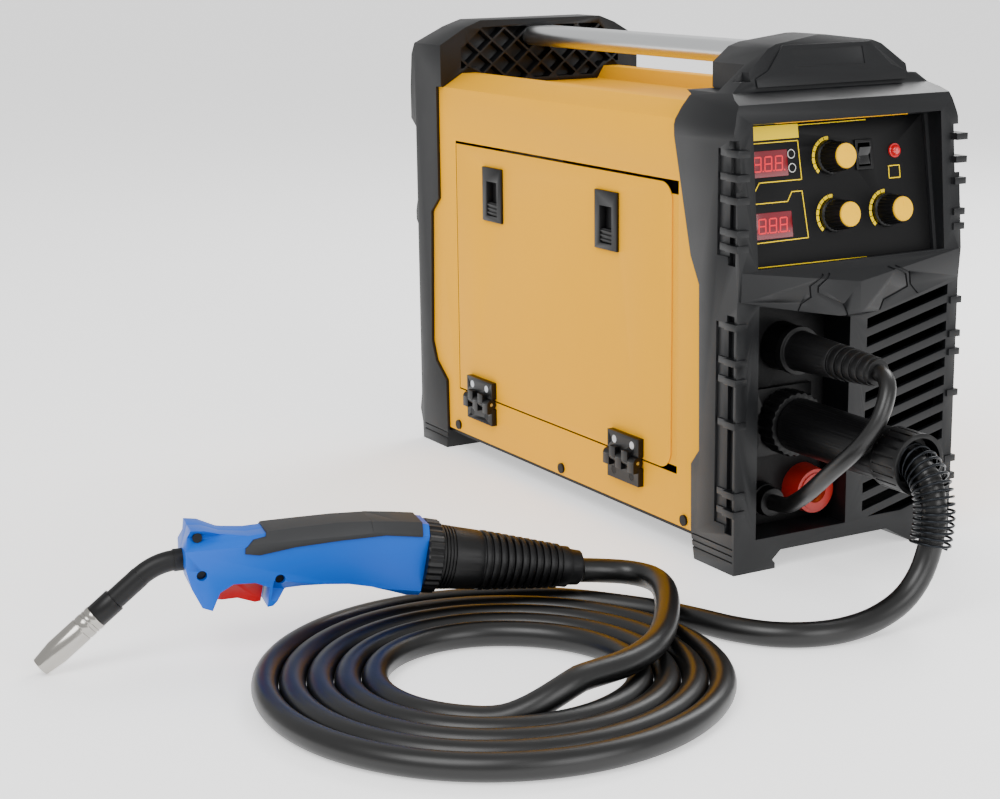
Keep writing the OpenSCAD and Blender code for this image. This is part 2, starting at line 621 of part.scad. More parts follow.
// Sweeps a tube of radius r round a list of points with n sides
function unit(v) = v / norm(v);
function tangent(p, i) = unit(p[min(i + 1, len(p) - 1)] - p[max(i - 1, 0)]);
function side_dir(t, last) = unit(last - t * (last * t));
function side_dirs(p, i = 0, last = [0.3, 0.2, 1]) =
    i >= len(p) ? [] : let(s = side_dir(tangent(p, i), last)) concat([s], side_dirs(p, i + 1, s));
function blended(a, b, c, d, t) = 0.5 * ((2 * b) + (c - a) * t + (2 * a - 5 * b + 4 * c - d) * t * t
    + (3 * b - a - 3 * c + d) * t * t * t);
function smooth_path(p, k) = concat([for (i = [0:len(p) - 2], j = [0:k - 1])
    blended(p[max(i - 1, 0)], p[i], p[i + 1], p[min(i + 2, len(p) - 1)], j / k)], [p[len(p) - 1]]);
module tube(p, r, n) {
    s = side_dirs(p);
    rings = [for (i = [0:len(p) - 1], k = [0:n - 1]) let(a = 360 * k / n, t = tangent(p, i))
        p[i] + r * (cos(a) * s[i] + sin(a) * cross(t, s[i]))];
    last = (len(p) - 1) * n;
    polyhedron(rings, concat([[for (k = [n - 1:-1:0]) k]],
        [for (i = [0:len(p) - 2], k = [0:n - 1]) [i * n + k, i * n + (k + 1) % n, (i + 1) * n + (k + 1) % n,
            (i + 1) * n + k]], [[for (k = [0:n - 1]) last + k]]), convexity = 6);
}

// The polarity cable hangs from the black plug to its gland, beside the torch connector
jumper_points = [[-41, -325, 160], [-42, -333, 158.5], [-46, -341, 153], [-52, -345.5, 143], [-59, -346, 130],
    [-66, -340, 116], [-70, -327, 102], [-71, -309.5, 87], [-68.5, -289.5, 71.5], [-63, -268, 58], [-58, -247, 48],
    [-58, -226, 46]];
module polarity_cable() color(black) placed() tube(smooth_path(jumper_points, 2), jumper_d / 2, 12);

module cable_glands() color(black) placed() {
    difference() {
        union() {
            y_rod(10.8, plate_y - 17, plate_y - 9, gland_c[0], gland_c[1], 11.4);
            y_rod(12.4, plate_y - 9.01, plate_y, gland_c[0], gland_c[1]);
            y_rod(8, plate_y - 0.01, plate_y + 14, gland_c[0], gland_c[1]);
        }
        y_rod(jumper_d / 2, plate_y - 18, plate_y + 15, gland_c[0], gland_c[1]);
    }
    difference() {
        union() {
            y_rod(10.8, yr + 8, yr + 16, gland_rear[0], gland_rear[1]);
            y_rod(12.4, yr, yr + 8.01, gland_rear[0], gland_rear[1]);
            y_rod(8, yr - 22, yr + 0.01, gland_rear[0], gland_rear[1]);
        }
        y_rod(5.6, yr - 23, yr + 20, gland_rear[0], gland_rear[1]);
    }
}

// Central torch connector
module euro_socket() color(black) placed() difference() {
    union() {
        box([euro_c[0] - 26, plate_y - 4, euro_c[1] - 26], [euro_c[0] + 26, plate_y, euro_c[1] + 26]);
        y_rod(15.8, plate_y - 10, plate_y + 22, euro_c[0], euro_c[1]);
    }
    y_rod(3, plate_y - 20, plate_y + 30, euro_c[0], euro_c[1]);
}

euro_nut_y = plate_y - 4.3;
euro_nut_l = 18;
module euro_nut() color("#222224") placed() difference() {
    union() {
        y_rod(23.4, euro_nut_y - euro_nut_l, euro_nut_y, euro_c[0], euro_c[1]);
        for (a = [0:15:345]) translate([euro_c[0] + 23 * cos(a), euro_nut_y - euro_nut_l + 2, euro_c[1] + 23 * sin(a)])
            rotate([-90, 0, 0]) cylinder(r = 1.6, h = euro_nut_l - 4);
    }
    y_rod(20, euro_nut_y - euro_nut_l + 4, euro_nut_y + 1, euro_c[0], euro_c[1]);
    y_rod(17.55, euro_nut_y - euro_nut_l - 1, euro_nut_y + 1, euro_c[0], euro_c[1]);
}

euro_end = yf - euro_grip_l;
module euro_plug() color("#29292B") placed() {
    x = euro_c[0];
    z = euro_c[1];
    difference() {
        union() {
            y_rod(17.5, euro_nut_y - euro_nut_l - 10, plate_y - 10, x, z);
            y_rod(19.2, euro_end + 26, euro_nut_y - euro_nut_l - 1, x, z, 20);
            y_rod(21.6, euro_end, euro_end + 26.01, x, z);
        }
        for (a = [0:18:342]) translate([x, euro_end, z]) rotate([0, a, 0]) box([20.9, 3, -0.8], [23, 24, 0.8]);
        y_rod(18.4, euro_end - 1, euro_end + 12, x, z);
    }
}

// Torch lead route: out of the connector, down to the floor and round to the coil
lead_points = [[-40, -357, 104], [-40, -369, 103], [-40.5, -380.5, 95], [-42, -387.5, 81], [-44, -389.5, 65],
    [-48, -390, 48], [-57, -391, 32], [-72, -392, 19], [-95, -393, 11], [-122, -394, 8.7], [-147, -389, 8.7],
    [-168, -375, 8.7], [-183, -353, 8.7], [-193, -328, 8.7], [-205, -302, 8.7], [-223, -275, 8.7]];
coil_c = [-359, -343];
coil_r_out = 143;
coil_r_in = 74.6;
// Points of the lead covered by the bend spring
spring_points = concat([for (i = [0:4]) lead_points[i]], [[-47, -390, 52]]);

// Sweeps a hollow tube as one shell: outer skin, inner skin and two ring-shaped ends
module hollow_tube(p, r0, r1, n) {
    s = side_dirs(p);
    m = len(p) * n;
    function ring_points(r) = [for (i = [0:len(p) - 1], k = [0:n - 1]) let(a = 360 * k / n, t = tangent(p, i))
        p[i] + r * (cos(a) * s[i] + sin(a) * cross(t, s[i]))];
    e = (len(p) - 1) * n;
    outer = [for (i = [0:len(p) - 2], k = [0:n - 1])
        [i * n + k, i * n + (k + 1) % n, (i + 1) * n + (k + 1) % n, (i + 1) * n + k]];
    inner = [for (f = outer) [m + f[3], m + f[2], m + f[1], m + f[0]]];
    near_end = [for (k = [0:n - 1]) [(k + 1) % n, k, m + k, m + (k + 1) % n]];
    far_end = [for (k = [0:n - 1]) [e + k, e + (k + 1) % n, m + e + (k + 1) % n, m + e + k]];
    polyhedron(concat(ring_points(r0), ring_points(r1)), concat(outer, inner, near_end, far_end), convexity = 8);
}

module bend_spring() color("#4A4C50") placed() hollow_tube(smooth_path(spring_points, 3), 16.2, 14.4, 14);

module lead_run() color(black) placed() tube(smooth_path(lead_points, 2), lead_d / 2, 12);

module lead_coil() color(black) placed() translate([coil_c[0], coil_c[1], 0]) rotate_extrude($fn = 96) {
    r = lead_d / 2;
    translate([coil_r_in, 0]) square([coil_r_out - coil_r_in, lead_d]);
    translate([coil_r_in, r]) circle(r = r);
    translate([coil_r_out, r]) circle(r = r);
}

// From the torch boot over the turns and down into the innermost one
tail_points = [[-238, -250.5, 30.4], [-222, -254, 28.2], [-206, -263, 26.6], [-199, -280, 26.2], [-203, -300, 26.1],
    [-214, -321, 26.1], [-228, -342, 26.1], [-243, -362, 26.1], [-260, -381, 26.1], [-280, -397, 26.1]];
module lead_tail() color(black) placed() tube(smooth_path(tail_points, 2), lead_d / 2, 12);

// Torch frame: x forward to the nozzle from the handle's rear face, z up, lying on the coil and the nozzle tip
torch_p = [-350.1, -225.6, 53.6];
torch_yaw = 167.5;
torch_pitch = -10.6;
module on_torch() translate(torch_p) rotate([0, 0, torch_yaw]) rotate([0, torch_pitch, 0]) children();

handle_low = [[0, -23.5], [9, -24.4], [20, -22], [34, -19.4], [50, -18.7], [66, -20], [80, -22.8], [90, -26],
    [98, -37], [101.6, -38.2], [102, -25], [112, -22.5], [126, -24.5], [134, -31], [137, -43.5], [144, -42],
    [152, -31], [158, -18]];
handle_top = [[160, -6], [158.5, 8], [150, 8.6], [138, 6.3], [120, 7], [104, 10.8], [84, 15], [62, 19.4], [40, 22.4],
    [20, 24], [6, 24.6], [0, 24.6]];
handle_half_w = 17.5;
neck_r = 6.8;
collar_r = 7.4;

// Body of the handle grown by g on its top and sides, with long chamfers
module handle_body(g) difference() {
    translate([0, handle_half_w + g, 0]) rotate([90, 0, 0]) linear_extrude(2 * (handle_half_w + g))
        polygon(concat(handle_low, [for (p = handle_top) [p[0], p[1] + g]]));
    for (t = [-1, 1]) {
        translate([-10, t * (20 + g), 26.4 + g]) rotate([0, 2.6, 0]) rotate([45, 0, 0]) translate([0, -7, -7]) cube([58, 14, 14]);
        translate([40, t * (20 + g), 23.4 + g]) rotate([0, 10.2, 0]) rotate([45, 0, 0]) translate([0, -7, -7]) cube([140, 14, 14]);
        translate([-10, t * 20.5, -27]) rotate([45, 0, 0]) translate([0, -7, -7]) cube([110, 14, 14]);
    }
}

// Half of the handle, hollow inside
module handle_half(s) {
    handle_shell(s);
    // the left half carries the trigger's pin
    if (s > 0) y_rod(1.5, -10, 7.7, trigger_pivot[0], trigger_pivot[1]);
}
module handle_shell(s) intersection() {
    difference() {
        handle_body(0);
        // wiring space
        translate([-1, 0, 0]) rotate([0, 90, 0]) cylinder(r = 15, h = 13);
        translate([-1, 0, 0]) rotate([0, 90, 0]) cylinder(r = 12, h = 82);
        translate([80, 0, -4]) rotate([0, 90, 0]) cylinder(r = 8, h = 60);
        on_neck() translate([-neck_in, 0, 0]) rotate([0, 90, 0]) cylinder(r = collar_r, h = 30);
        on_neck() translate([-25, 0, 0]) rotate([0, 90, 0]) cylinder(r = 3.5, h = 20);
        // trigger pocket
        box([103.4, -7.6, -50], [135.4, 7.6, -14]);
        y_rod(1.5, -10, 0, trigger_pivot[0], trigger_pivot[1]);
        // screw holes
        for (c = torch_screw_c) y_rod(1.6, -12, 30, c[0], c[1]);
        for (c = torch_screw_c) y_rod(3.4, 11.6, 30, c[0], c[1]);
    }
    box([-5, s > 0 ? 0.02 : -30, -60], [170, s > 0 ? 30 : -0.02, 40]);
}
torch_screw_c = [[96, -19], [147.4, -20.5], [153, 3.2]];
module torch_handle_left() color("#0E7FE1") placed() on_torch() handle_half(1);
module torch_handle_right() color("#0E7FE1") placed() on_torch() handle_half(-1);

// Soft pad laid over the top and both sides of the handle
pad_region = [[5, 17.5], [30, 16.5], [60, 10.5], [89, 3.8], [102, -0.4], [112, -3.6], [121.6, -3.6], [122, 0], [117, 5.5],
    [109, 8], [104, 34], [5, 34]];
module torch_grip_pad() color("#4A4B4D") placed() on_torch() difference() {
    intersection() {
        handle_body(1.3);
        translate([0, 25, 0]) rotate([90, 0, 0]) linear_extrude(50) polygon(pad_region);
    }
    handle_body(0);
}

// Trigger that swings on a pin at its front end
trigger_pivot = [131, -20];
module torch_trigger() color("#D92330") placed() on_torch() difference() {
    union() {
        rotate([90, 0, 0]) translate([0, 0, -7.2]) linear_extrude(14.4)
            polygon([[104.4, -24.5], [104.4, -37.5], [108, -38.6], [120, -36.6], [130, -38.6], [134.6, -38.5], [134.6, -22],
                [128, -18.2], [118, -18.6], [110, -21]]);
    }
    y_rod(1.5 + fit, -10, 10, trigger_pivot[0], trigger_pivot[1]);
}

module torch_ring() color(black) placed() on_torch() difference() {
    union() {
        translate([-11, 0, 0]) rotate([0, 90, 0]) cylinder(r1 = 23.6, r2 = 24.5, h = 11);
        for (a = [0:15:345]) rotate([a, 0, 0]) translate([-10, 0, 23.4]) rotate([0, 90, 0]) cylinder(r = 1.6, h = 9);
    }
    translate([-12, 0, 0]) rotate([0, 90, 0]) cylinder(r = 15, h = 14);
}

// Rubber boot with its cuff and bellows ribs, plugged into the ring
module torch_boot() color(black) placed() on_torch() difference() {
    union() {
        translate([-60, 0, 0]) rotate([0, 90, 0]) cylinder(r1 = 16, r2 = 19.5, h = 20);
        translate([-40, 0, 0]) rotate([0, 90, 0]) cylinder(r1 = 20.2, r2 = 21.4, h = 19.5);
        translate([-21, 0, 0]) rotate([0, 90, 0]) cylinder(r = 20.6, h = 9);
        for (i = [0:3]) translate([-19.9 + i * 2.3, 0, 0]) rotate([0, 90, 0]) cylinder(r = 21.6 + i * 0.15, h = 1.6);
        translate([-12, 0, 0]) rotate([0, 90, 0]) cylinder(r = 15, h = 24);
        for (i = [0:10]) translate([-45.4 - i * 5.3, 0, 0]) rotate([0, 90, 0]) cylinder(r = 20.4 - i * 0.5, h = 3.2);
        translate([-100, 0, 0]) rotate([0, 90, 0]) cylinder(r1 = 13, r2 = 16, h = 41);
        translate([-106, 0, 0]) rotate([0, 90, 0]) cylinder(r = 14.2, h = 6.5);
        translate([-115, 0, 0]) rotate([0, 90, 0]) cylinder(r1 = 12, r2 = 12.8, h = 9.5);
    }
    translate([-120, 0, 0]) rotate([0, 90, 0]) cylinder(r = 8.9, h = 140);
}

// Curved neck: a short straight in the handle, an arc, then straight to the insulator
neck_in = 8;
neck_bend_r = 40;
neck_angle = 37.5;
neck_straight = 21.5;
neck_entry = [160, -15.6];
insulator_l = 15.8;
module on_neck() translate([neck_entry[0], 0, neck_entry[1]]) rotate([0, 12, 0]) children();
module on_nozzle() on_torch() on_neck()
    translate([2, 0, -neck_bend_r]) rotate([0, neck_angle, 0]) translate([neck_straight, 0, neck_bend_r]) children();
module torch_neck() color(black) placed() {
    on_torch() on_neck() {
        translate([-neck_in, 0, 0]) rotate([0, 90, 0]) cylinder(r = collar_r, h = neck_in + 4);
        translate([2, 0, -neck_bend_r]) rotate([90, 0, 0]) rotate([0, 0, 90 - neck_angle])
            rotate_extrude(angle = neck_angle) translate([neck_bend_r, 0]) circle(r = neck_r);
    }
    on_nozzle() translate([-neck_straight - 0.5, 0, 0]) rotate([0, 90, 0]) cylinder(r = neck_r + 0.2, h = neck_straight + 0.5);
}
module nozzle_insulator() color("#2B2B2D") placed() on_nozzle() difference() {
    rotate([0, 90, 0]) cylinder(r = nozzle_r - 0.3, h = insulator_l);
    translate([-1, 0, 0]) rotate([0, 90, 0]) cylinder(r = 4.9, h = insulator_l + 2);
}
module gas_nozzle() color("#C8C4BC") placed() on_nozzle() translate([insulator_l, 0, 0]) difference() {
    union() {
        rotate([0, 90, 0]) cylinder(r = nozzle_r, h = nozzle_l - 14);
        translate([nozzle_l - 14, 0, 0]) rotate([0, 90, 0]) cylinder(r1 = nozzle_r, r2 = nozzle_r - 1.9, h = 14);
    }
    for (x = [3.2, 5.6, 11]) translate([x, 0, 0]) rotate([0, 90, 0]) rotate_extrude() translate([nozzle_r - 0.6, 0])
        square([3, 1.1]);
    translate([-1, 0, 0]) rotate([0, 90, 0]) cylinder(r = nozzle_r - 1.5, h = nozzle_l - 14);
    translate([nozzle_l - 15.01, 0, 0]) rotate([0, 90, 0]) cylinder(r1 = nozzle_r - 1.5, r2 = nozzle_r - 3.1, h = 16.02);
}
module contact_tip() color("#B87333") placed() on_nozzle() difference() {
    union() {
        translate([1, 0, 0]) rotate([0, 90, 0]) cylinder(r = 4.9, h = insulator_l - 0.9);
        translate([insulator_l, 0, 0]) rotate([0, 90, 0]) cylinder(r = 5, h = 12);
        translate([insulator_l + 12, 0, 0]) rotate([0, 90, 0]) cylinder(r = 3.6, h = nozzle_l - 22);
        translate([insulator_l + nozzle_l - 10, 0, 0]) rotate([0, 90, 0]) cylinder(r1 = 3.6, r2 = 2.4, h = 5);
    }
    translate([12, 0, 0]) rotate([0, 90, 0]) cylinder(r = 0.7, h = 60);
}

module torch_screws() color(steel) placed() on_torch() for (c = torch_screw_c) {
    y_rod(3.2, 11.6, 13.4, c[0], c[1]);
    y_rod(1.6, -12, 11.61, c[0], c[1]);
}

// Inside of the case
divider_x = 8;
spool_c = [96, 187];
feed_y = yf + 124;
feed_z = euro_c[1] - roller_r - wire_d / 2;
press_r = 11;
press_z = euro_c[1] + press_r + wire_d / 2;
arm_pivot = [feed_y + 42, euro_c[1] + 14];
module divider_panel() color(steel) placed() {
    difference() {
        box([divider_x, cover_yf + 46, floor_z + sheet_t], [divider_x + sheet_t, cover_yr - 32, case_h - 12]);
        x_rod(26, divider_x - 5, divider_x + 9, feed_y, feed_z);
        for (y = [60, 130], z = [40, 70]) x_rod(6, divider_x - 5, divider_x + 9, y, z);
    }
    // spool spindle with its nut
    x_rod(9, divider_x - spool_w - 26, divider_x + 0.01, spool_c[0], spool_c[1]);
    x_rod(24, divider_x - 16, divider_x + 0.01, spool_c[0], spool_c[1]);
}

module wire_spool() color("#D9D9D4") placed() difference() {
    x0 = divider_x - 22 - spool_w;
    x1 = divider_x - 22;
    union() {
        x_rod(spool_r, x0, x0 + 4, spool_c[0], spool_c[1]);
        x_rod(spool_r, x1 - 4, x1, spool_c[0], spool_c[1]);
        x_rod(spool_r * 0.86, x0 + 3.9, x1 - 3.9, spool_c[0], spool_c[1]);
    }
    x_rod(26, x0 - 1, x1 - 3, spool_c[0], spool_c[1]);
    x_rod(9 + fit, x0 - 1, x1 + 1, spool_c[0], spool_c[1]);
    for (a = [0:60:300]) x_rod(15, x0 - 1, x0 + 5, spool_c[0] + 60 * cos(a), spool_c[1] + 60 * sin(a));
}

module wire_feeder() color("#6E7276") placed() {
    difference() {
        union() {
            box([divider_x - 30, feed_y - 48, feed_z - 26], [divider_x, feed_y + 50, feed_z + 10]);
            x_rod(25.5, divider_x - 0.01, divider_x + 66, feed_y, feed_z);
            // arm bracket and spring post
            box([divider_x - 30, arm_pivot[0] - 9, feed_z + 9.9], [divider_x - 8, arm_pivot[0] + 9, arm_pivot[1] - 8]);
            box([divider_x - 60, arm_pivot[0] - 1, feed_z - 26], [divider_x - 29.9, arm_pivot[0] + 8, euro_c[1] - 9]);
            // wire guides before and after the rollers
            box([euro_c[0] - 6, feed_y + 18, feed_z - 20], [divider_x - 29.9, feed_y + 30, euro_c[1] + 4]);
            box([euro_c[0] - 6, feed_y - 34, feed_z - 20], [divider_x - 29.9, feed_y - 18, euro_c[1] + 4]);
        }
        x_rod(5 + fit, divider_x - 40, divider_x + 20, feed_y, feed_z);
        y_rod(1.2, feed_y - 60, feed_y + 60, euro_c[0], euro_c[1]);
        x_rod(roller_r + 1.5, divider_x - 70, divider_x - 33, feed_y, feed_z);
    }
    // two ears that hold the arm's pin
    for (x = [divider_x - 30, divider_x - 14]) difference() {
        box([x, arm_pivot[0] - 7, arm_pivot[1] - 12], [x + 5, arm_pivot[0] + 7, arm_pivot[1] + 6]);
        x_rod(2.5, x - 1, x + 9, arm_pivot[0], arm_pivot[1]);
    }
}

module drive_roller() color("#A9ADB2") placed() {
    difference() {
        x_rod(roller_r, euro_c[0] - 6, euro_c[0] + 6, feed_y, feed_z);
        translate([euro_c[0], feed_y, feed_z]) rotate([0, 90, 0]) rotate_extrude()
            polygon([[roller_r + 0.1, -0.5], [roller_r + 0.1, 0.5], [roller_r - 0.35, 0]]);
    }
    x_rod(5, euro_c[0] + 5.9, divider_x + 15, feed_y, feed_z);
    x_rod(7, euro_c[0] - 10, euro_c[0] - 5.9, feed_y, feed_z);
}

module pressure_roller() color("#9EA2A6") placed() difference() {
    x_rod(press_r, euro_c[0] - 5, euro_c[0] + 5, feed_y, press_z);
    x_rod(3 + fit, euro_c[0] - 9, euro_c[0] + 9, feed_y, press_z);
}

module pressure_arm() color("#34363A") placed() {
    // pin, bent arm beside the roller and the roller's stub
    x_rod(2.5 - fit, divider_x - 31, divider_x - 8, arm_pivot[0], arm_pivot[1]);
    x_rod(6, divider_x - 24.8, divider_x - 14.2, arm_pivot[0], arm_pivot[1]);
    difference() {
        side_solid([[arm_pivot[0], arm_pivot[1] - 5], [arm_pivot[0], arm_pivot[1] + 6], [feed_y + 12, press_z + 8],
            [feed_y - 40, press_z + 10], [feed_y - 40, press_z + 3], [feed_y - 8, press_z - 6], [feed_y + 10, press_z - 5]],
            divider_x - 24.8, divider_x - 14.2);
    }
    x_rod(3, euro_c[0] - 6, divider_x - 20, feed_y, press_z);
    box([euro_c[0] - 4, feed_y - 40, press_z + 3], [divider_x - 15, feed_y - 26, press_z + 9]);
}

tension_c = [euro_c[0] + 4, feed_y - 33];
module tension_knob() color("#C22020") placed() {
    translate([tension_c[0], tension_c[1], press_z + 9.3]) {
        cylinder(r = 8, h = 20);
        for (a = [0:45:315]) rotate([0, 0, a]) translate([8, 0, 2]) cylinder(r = 1.4, h = 16);
        translate([0, 0, 19.9]) cylinder(r1 = 8, r2 = 6, h = 4);
    }
}

module power_board() color("#246B3C") placed() {
    x0 = divider_x + 16;
    box([x0, -90, floor_z + 30], [x0 + 1.6, 150, floor_z + 210]);
    for (y = [-82, 142], z = [floor_z + 37, floor_z + 203]) x_rod(3, divider_x + sheet_t, x0 + 0.01, y, z);
    // heat sinks
    for (z = [60, 150]) {
        box([x0 + 1.59, -60, floor_z + z], [x0 + 7, 120, floor_z + z + 50]);
        for (i = [0:11]) box([x0 + 6.9, -58 + i * 15, floor_z + z], [x0 + 40, -55 + i * 15, floor_z + z + 50]);
    }
    // transformer and capacitors
    box([x0 + 1.59, -85, floor_z + 35], [x0 + 46, -20, floor_z + 56]);
    for (y = [-76, 138], z = [130, 175]) translate([x0 + 1.59, y, floor_z + z]) rotate([0, 90, 0]) cylinder(r = 10, h = 45);
}

fan_y = cover_yr - 24.5;
module fan_frame() color("#232325") placed() difference() {
    box([fan_c[0] - fan_box / 2, fan_y, fan_c[1] - fan_box / 2], [fan_c[0] + fan_box / 2, fan_y + 25, fan_c[1] + fan_box / 2]);
    difference() {
        y_rod(fan_r, fan_y - 1, fan_y + 26, fan_c[0], fan_c[1]);
        y_rod(20, fan_y - 2, fan_y + 5, fan_c[0], fan_c[1]);
        for (a = [45:90:315]) translate([fan_c[0], fan_y, fan_c[1]]) rotate([0, a, 0]) box([0, 0, -3], [fan_r + 2, 4, 3]);
    }
    y_rod(2, fan_y - 2, fan_y + 5, fan_c[0], fan_c[1]);
    for (x = [-52, 52], z = [-52, 52]) y_rod(2.2, fan_y - 1, fan_y + 30, fan_c[0] + x, fan_c[1] + z);
}

module fan_rotor() color("#2C2C2E") placed() {
    y_rod(21, fan_y + 6, fan_y + 23, fan_c[0], fan_c[1]);
    y_rod(2 - fit, fan_y + 0.5, fan_y + 6.1, fan_c[0], fan_c[1]);
    for (a = [0:51.4286:359]) translate([fan_c[0], fan_y + 14.5, fan_c[1]]) rotate([0, a, 0])
        translate([20, 0, 0]) rotate([32, 0, 0]) box([0, -1, -11], [33, 1, 11]);
}

module gas_inlet() color("#C9A24B") placed() difference() {
    union() {
        y_rod(6, yr - 22, yr + 4, gas_c[0], gas_c[1]);
        y_rod(9, yr, yr + 5, gas_c[0], gas_c[1]);
        for (i = [0:2]) y_rod(5.6, yr + 7 + i * 4, yr + 11 + i * 4, gas_c[0], gas_c[1], 4.6);
        y_rod(4.4, yr + 3.9, yr + 20, gas_c[0], gas_c[1]);
    }
    y_rod(2.5, yr - 23, yr + 22, gas_c[0], gas_c[1]);
}

base_pan();
cover();
door();
front_bezel();
rear_bezel();
handle_bar();
door_hinge_leaves();
case_hinge_leaves();
hinge_pins();
door_screws();
case_screws();
latch_frames();
rear_latch_slider();
front_latch_slider();
fascia();
display_windows();
wire_speed_knob();
voltage_knob();
inductance_knob();
switch_frames();
mode_rocker();
power_rocker();
indicator_lamp();
control_board();
connector_plate();
black_socket();
red_socket();
socket_brass();
polarity_plug();
polarity_cable();
cable_glands();
euro_socket();
euro_nut();
euro_plug();
bend_spring();
lead_run();
lead_coil();
lead_tail();
torch_handle_left();
torch_handle_right();
torch_grip_pad();
torch_trigger();
torch_ring();
torch_boot();
torch_neck();
nozzle_insulator();
gas_nozzle();
contact_tip();
torch_screws();
divider_panel();
wire_spool();
wire_feeder();
drive_roller();
pressure_roller();
pressure_arm();
tension_knob();
power_board();
fan_frame();
fan_rotor();
gas_inlet();
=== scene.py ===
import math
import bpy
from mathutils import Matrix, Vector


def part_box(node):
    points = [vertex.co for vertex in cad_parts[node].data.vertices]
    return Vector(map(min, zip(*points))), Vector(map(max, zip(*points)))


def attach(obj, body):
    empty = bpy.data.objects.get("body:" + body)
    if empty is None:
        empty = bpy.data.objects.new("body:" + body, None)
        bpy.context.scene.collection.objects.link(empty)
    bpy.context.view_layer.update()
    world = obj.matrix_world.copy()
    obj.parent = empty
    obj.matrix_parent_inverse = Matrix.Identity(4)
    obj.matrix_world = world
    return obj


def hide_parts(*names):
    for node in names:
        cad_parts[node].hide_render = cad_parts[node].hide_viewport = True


bl_info = {
    "name": "Wire Feed Welder",
    "version": (1, 0, 0),
    "blender": (4, 5, 0),
    "location": "View3D > Sidebar > Welder",
    "description": "Builds the finished look of a wire feed welder with torch and coiled lead on its packed frame",
    "category": "Object",
}

import bmesh
import bpy
from bpy.props import FloatProperty, IntProperty, PointerProperty
from mathutils import Matrix, Vector

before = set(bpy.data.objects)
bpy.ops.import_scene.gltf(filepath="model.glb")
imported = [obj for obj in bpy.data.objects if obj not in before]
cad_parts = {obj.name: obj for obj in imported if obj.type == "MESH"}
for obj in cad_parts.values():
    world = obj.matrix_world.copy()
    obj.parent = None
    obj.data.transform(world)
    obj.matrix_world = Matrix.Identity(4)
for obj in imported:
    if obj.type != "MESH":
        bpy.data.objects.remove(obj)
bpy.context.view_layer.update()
MM = 0.001

# The case's own centre in the row frame; every drawing size below is in millimetres from it
COVER_LO, COVER_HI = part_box("cover")
CASE_X = (COVER_LO[0] + COVER_HI[0]) / 2
CASE_Y = (COVER_LO[1] + COVER_HI[1]) / 2
CASE = Matrix.Translation((CASE_X, CASE_Y, 0)) @ Matrix.Scale(MM, 4)

# Tilted frame of the control panel: x right, y into the case, z up the panel
PANEL_TILT = math.radians(9)
PANEL = CASE @ Matrix.Translation((0, -235, 222)) @ Matrix.Rotation(-PANEL_TILT, 4, "X")

# Frame of the torch: x forward from the handle's rear face, z up
TORCH = (CASE @ Matrix.Translation((-350.1, -225.6, 53.6)) @ Matrix.Rotation(math.radians(167.5), 4, "Z")
         @ Matrix.Rotation(math.radians(-10.6), 4, "Y"))
NECK = TORCH @ Matrix.Translation((160, 0, -15.6)) @ Matrix.Rotation(math.radians(12), 4, "Y")
NOZZLE = (NECK @ Matrix.Translation((2, 0, -40)) @ Matrix.Rotation(math.radians(37.5), 4, "Y")
          @ Matrix.Translation((21.5, 0, 40)))


# ---------------------------------------------------------------- materials

def rgb(code):
    """Linear colour of an sRGB hex code."""
    values = [int(code[i:i + 2], 16) / 255 for i in (1, 3, 5)]
    return tuple(v / 12.92 if v <= 0.04045 else ((v + 0.055) / 1.055) ** 2.4 for v in values) + (1.0,)


def add_node(tree, kind, links=None, **values):
    """Adds a node, sets its attributes and plain inputs, and links the named inputs."""
    made = tree.nodes.new(kind)
    for key, value in values.items():
        if hasattr(made, key):
            setattr(made, key, value)
        else:
            made.inputs[key.replace("_", " ")].default_value = value
    for key, socket in (links or {}).items():
        tree.links.new(socket, made.inputs[key])
    return made


MATERIALS = {}


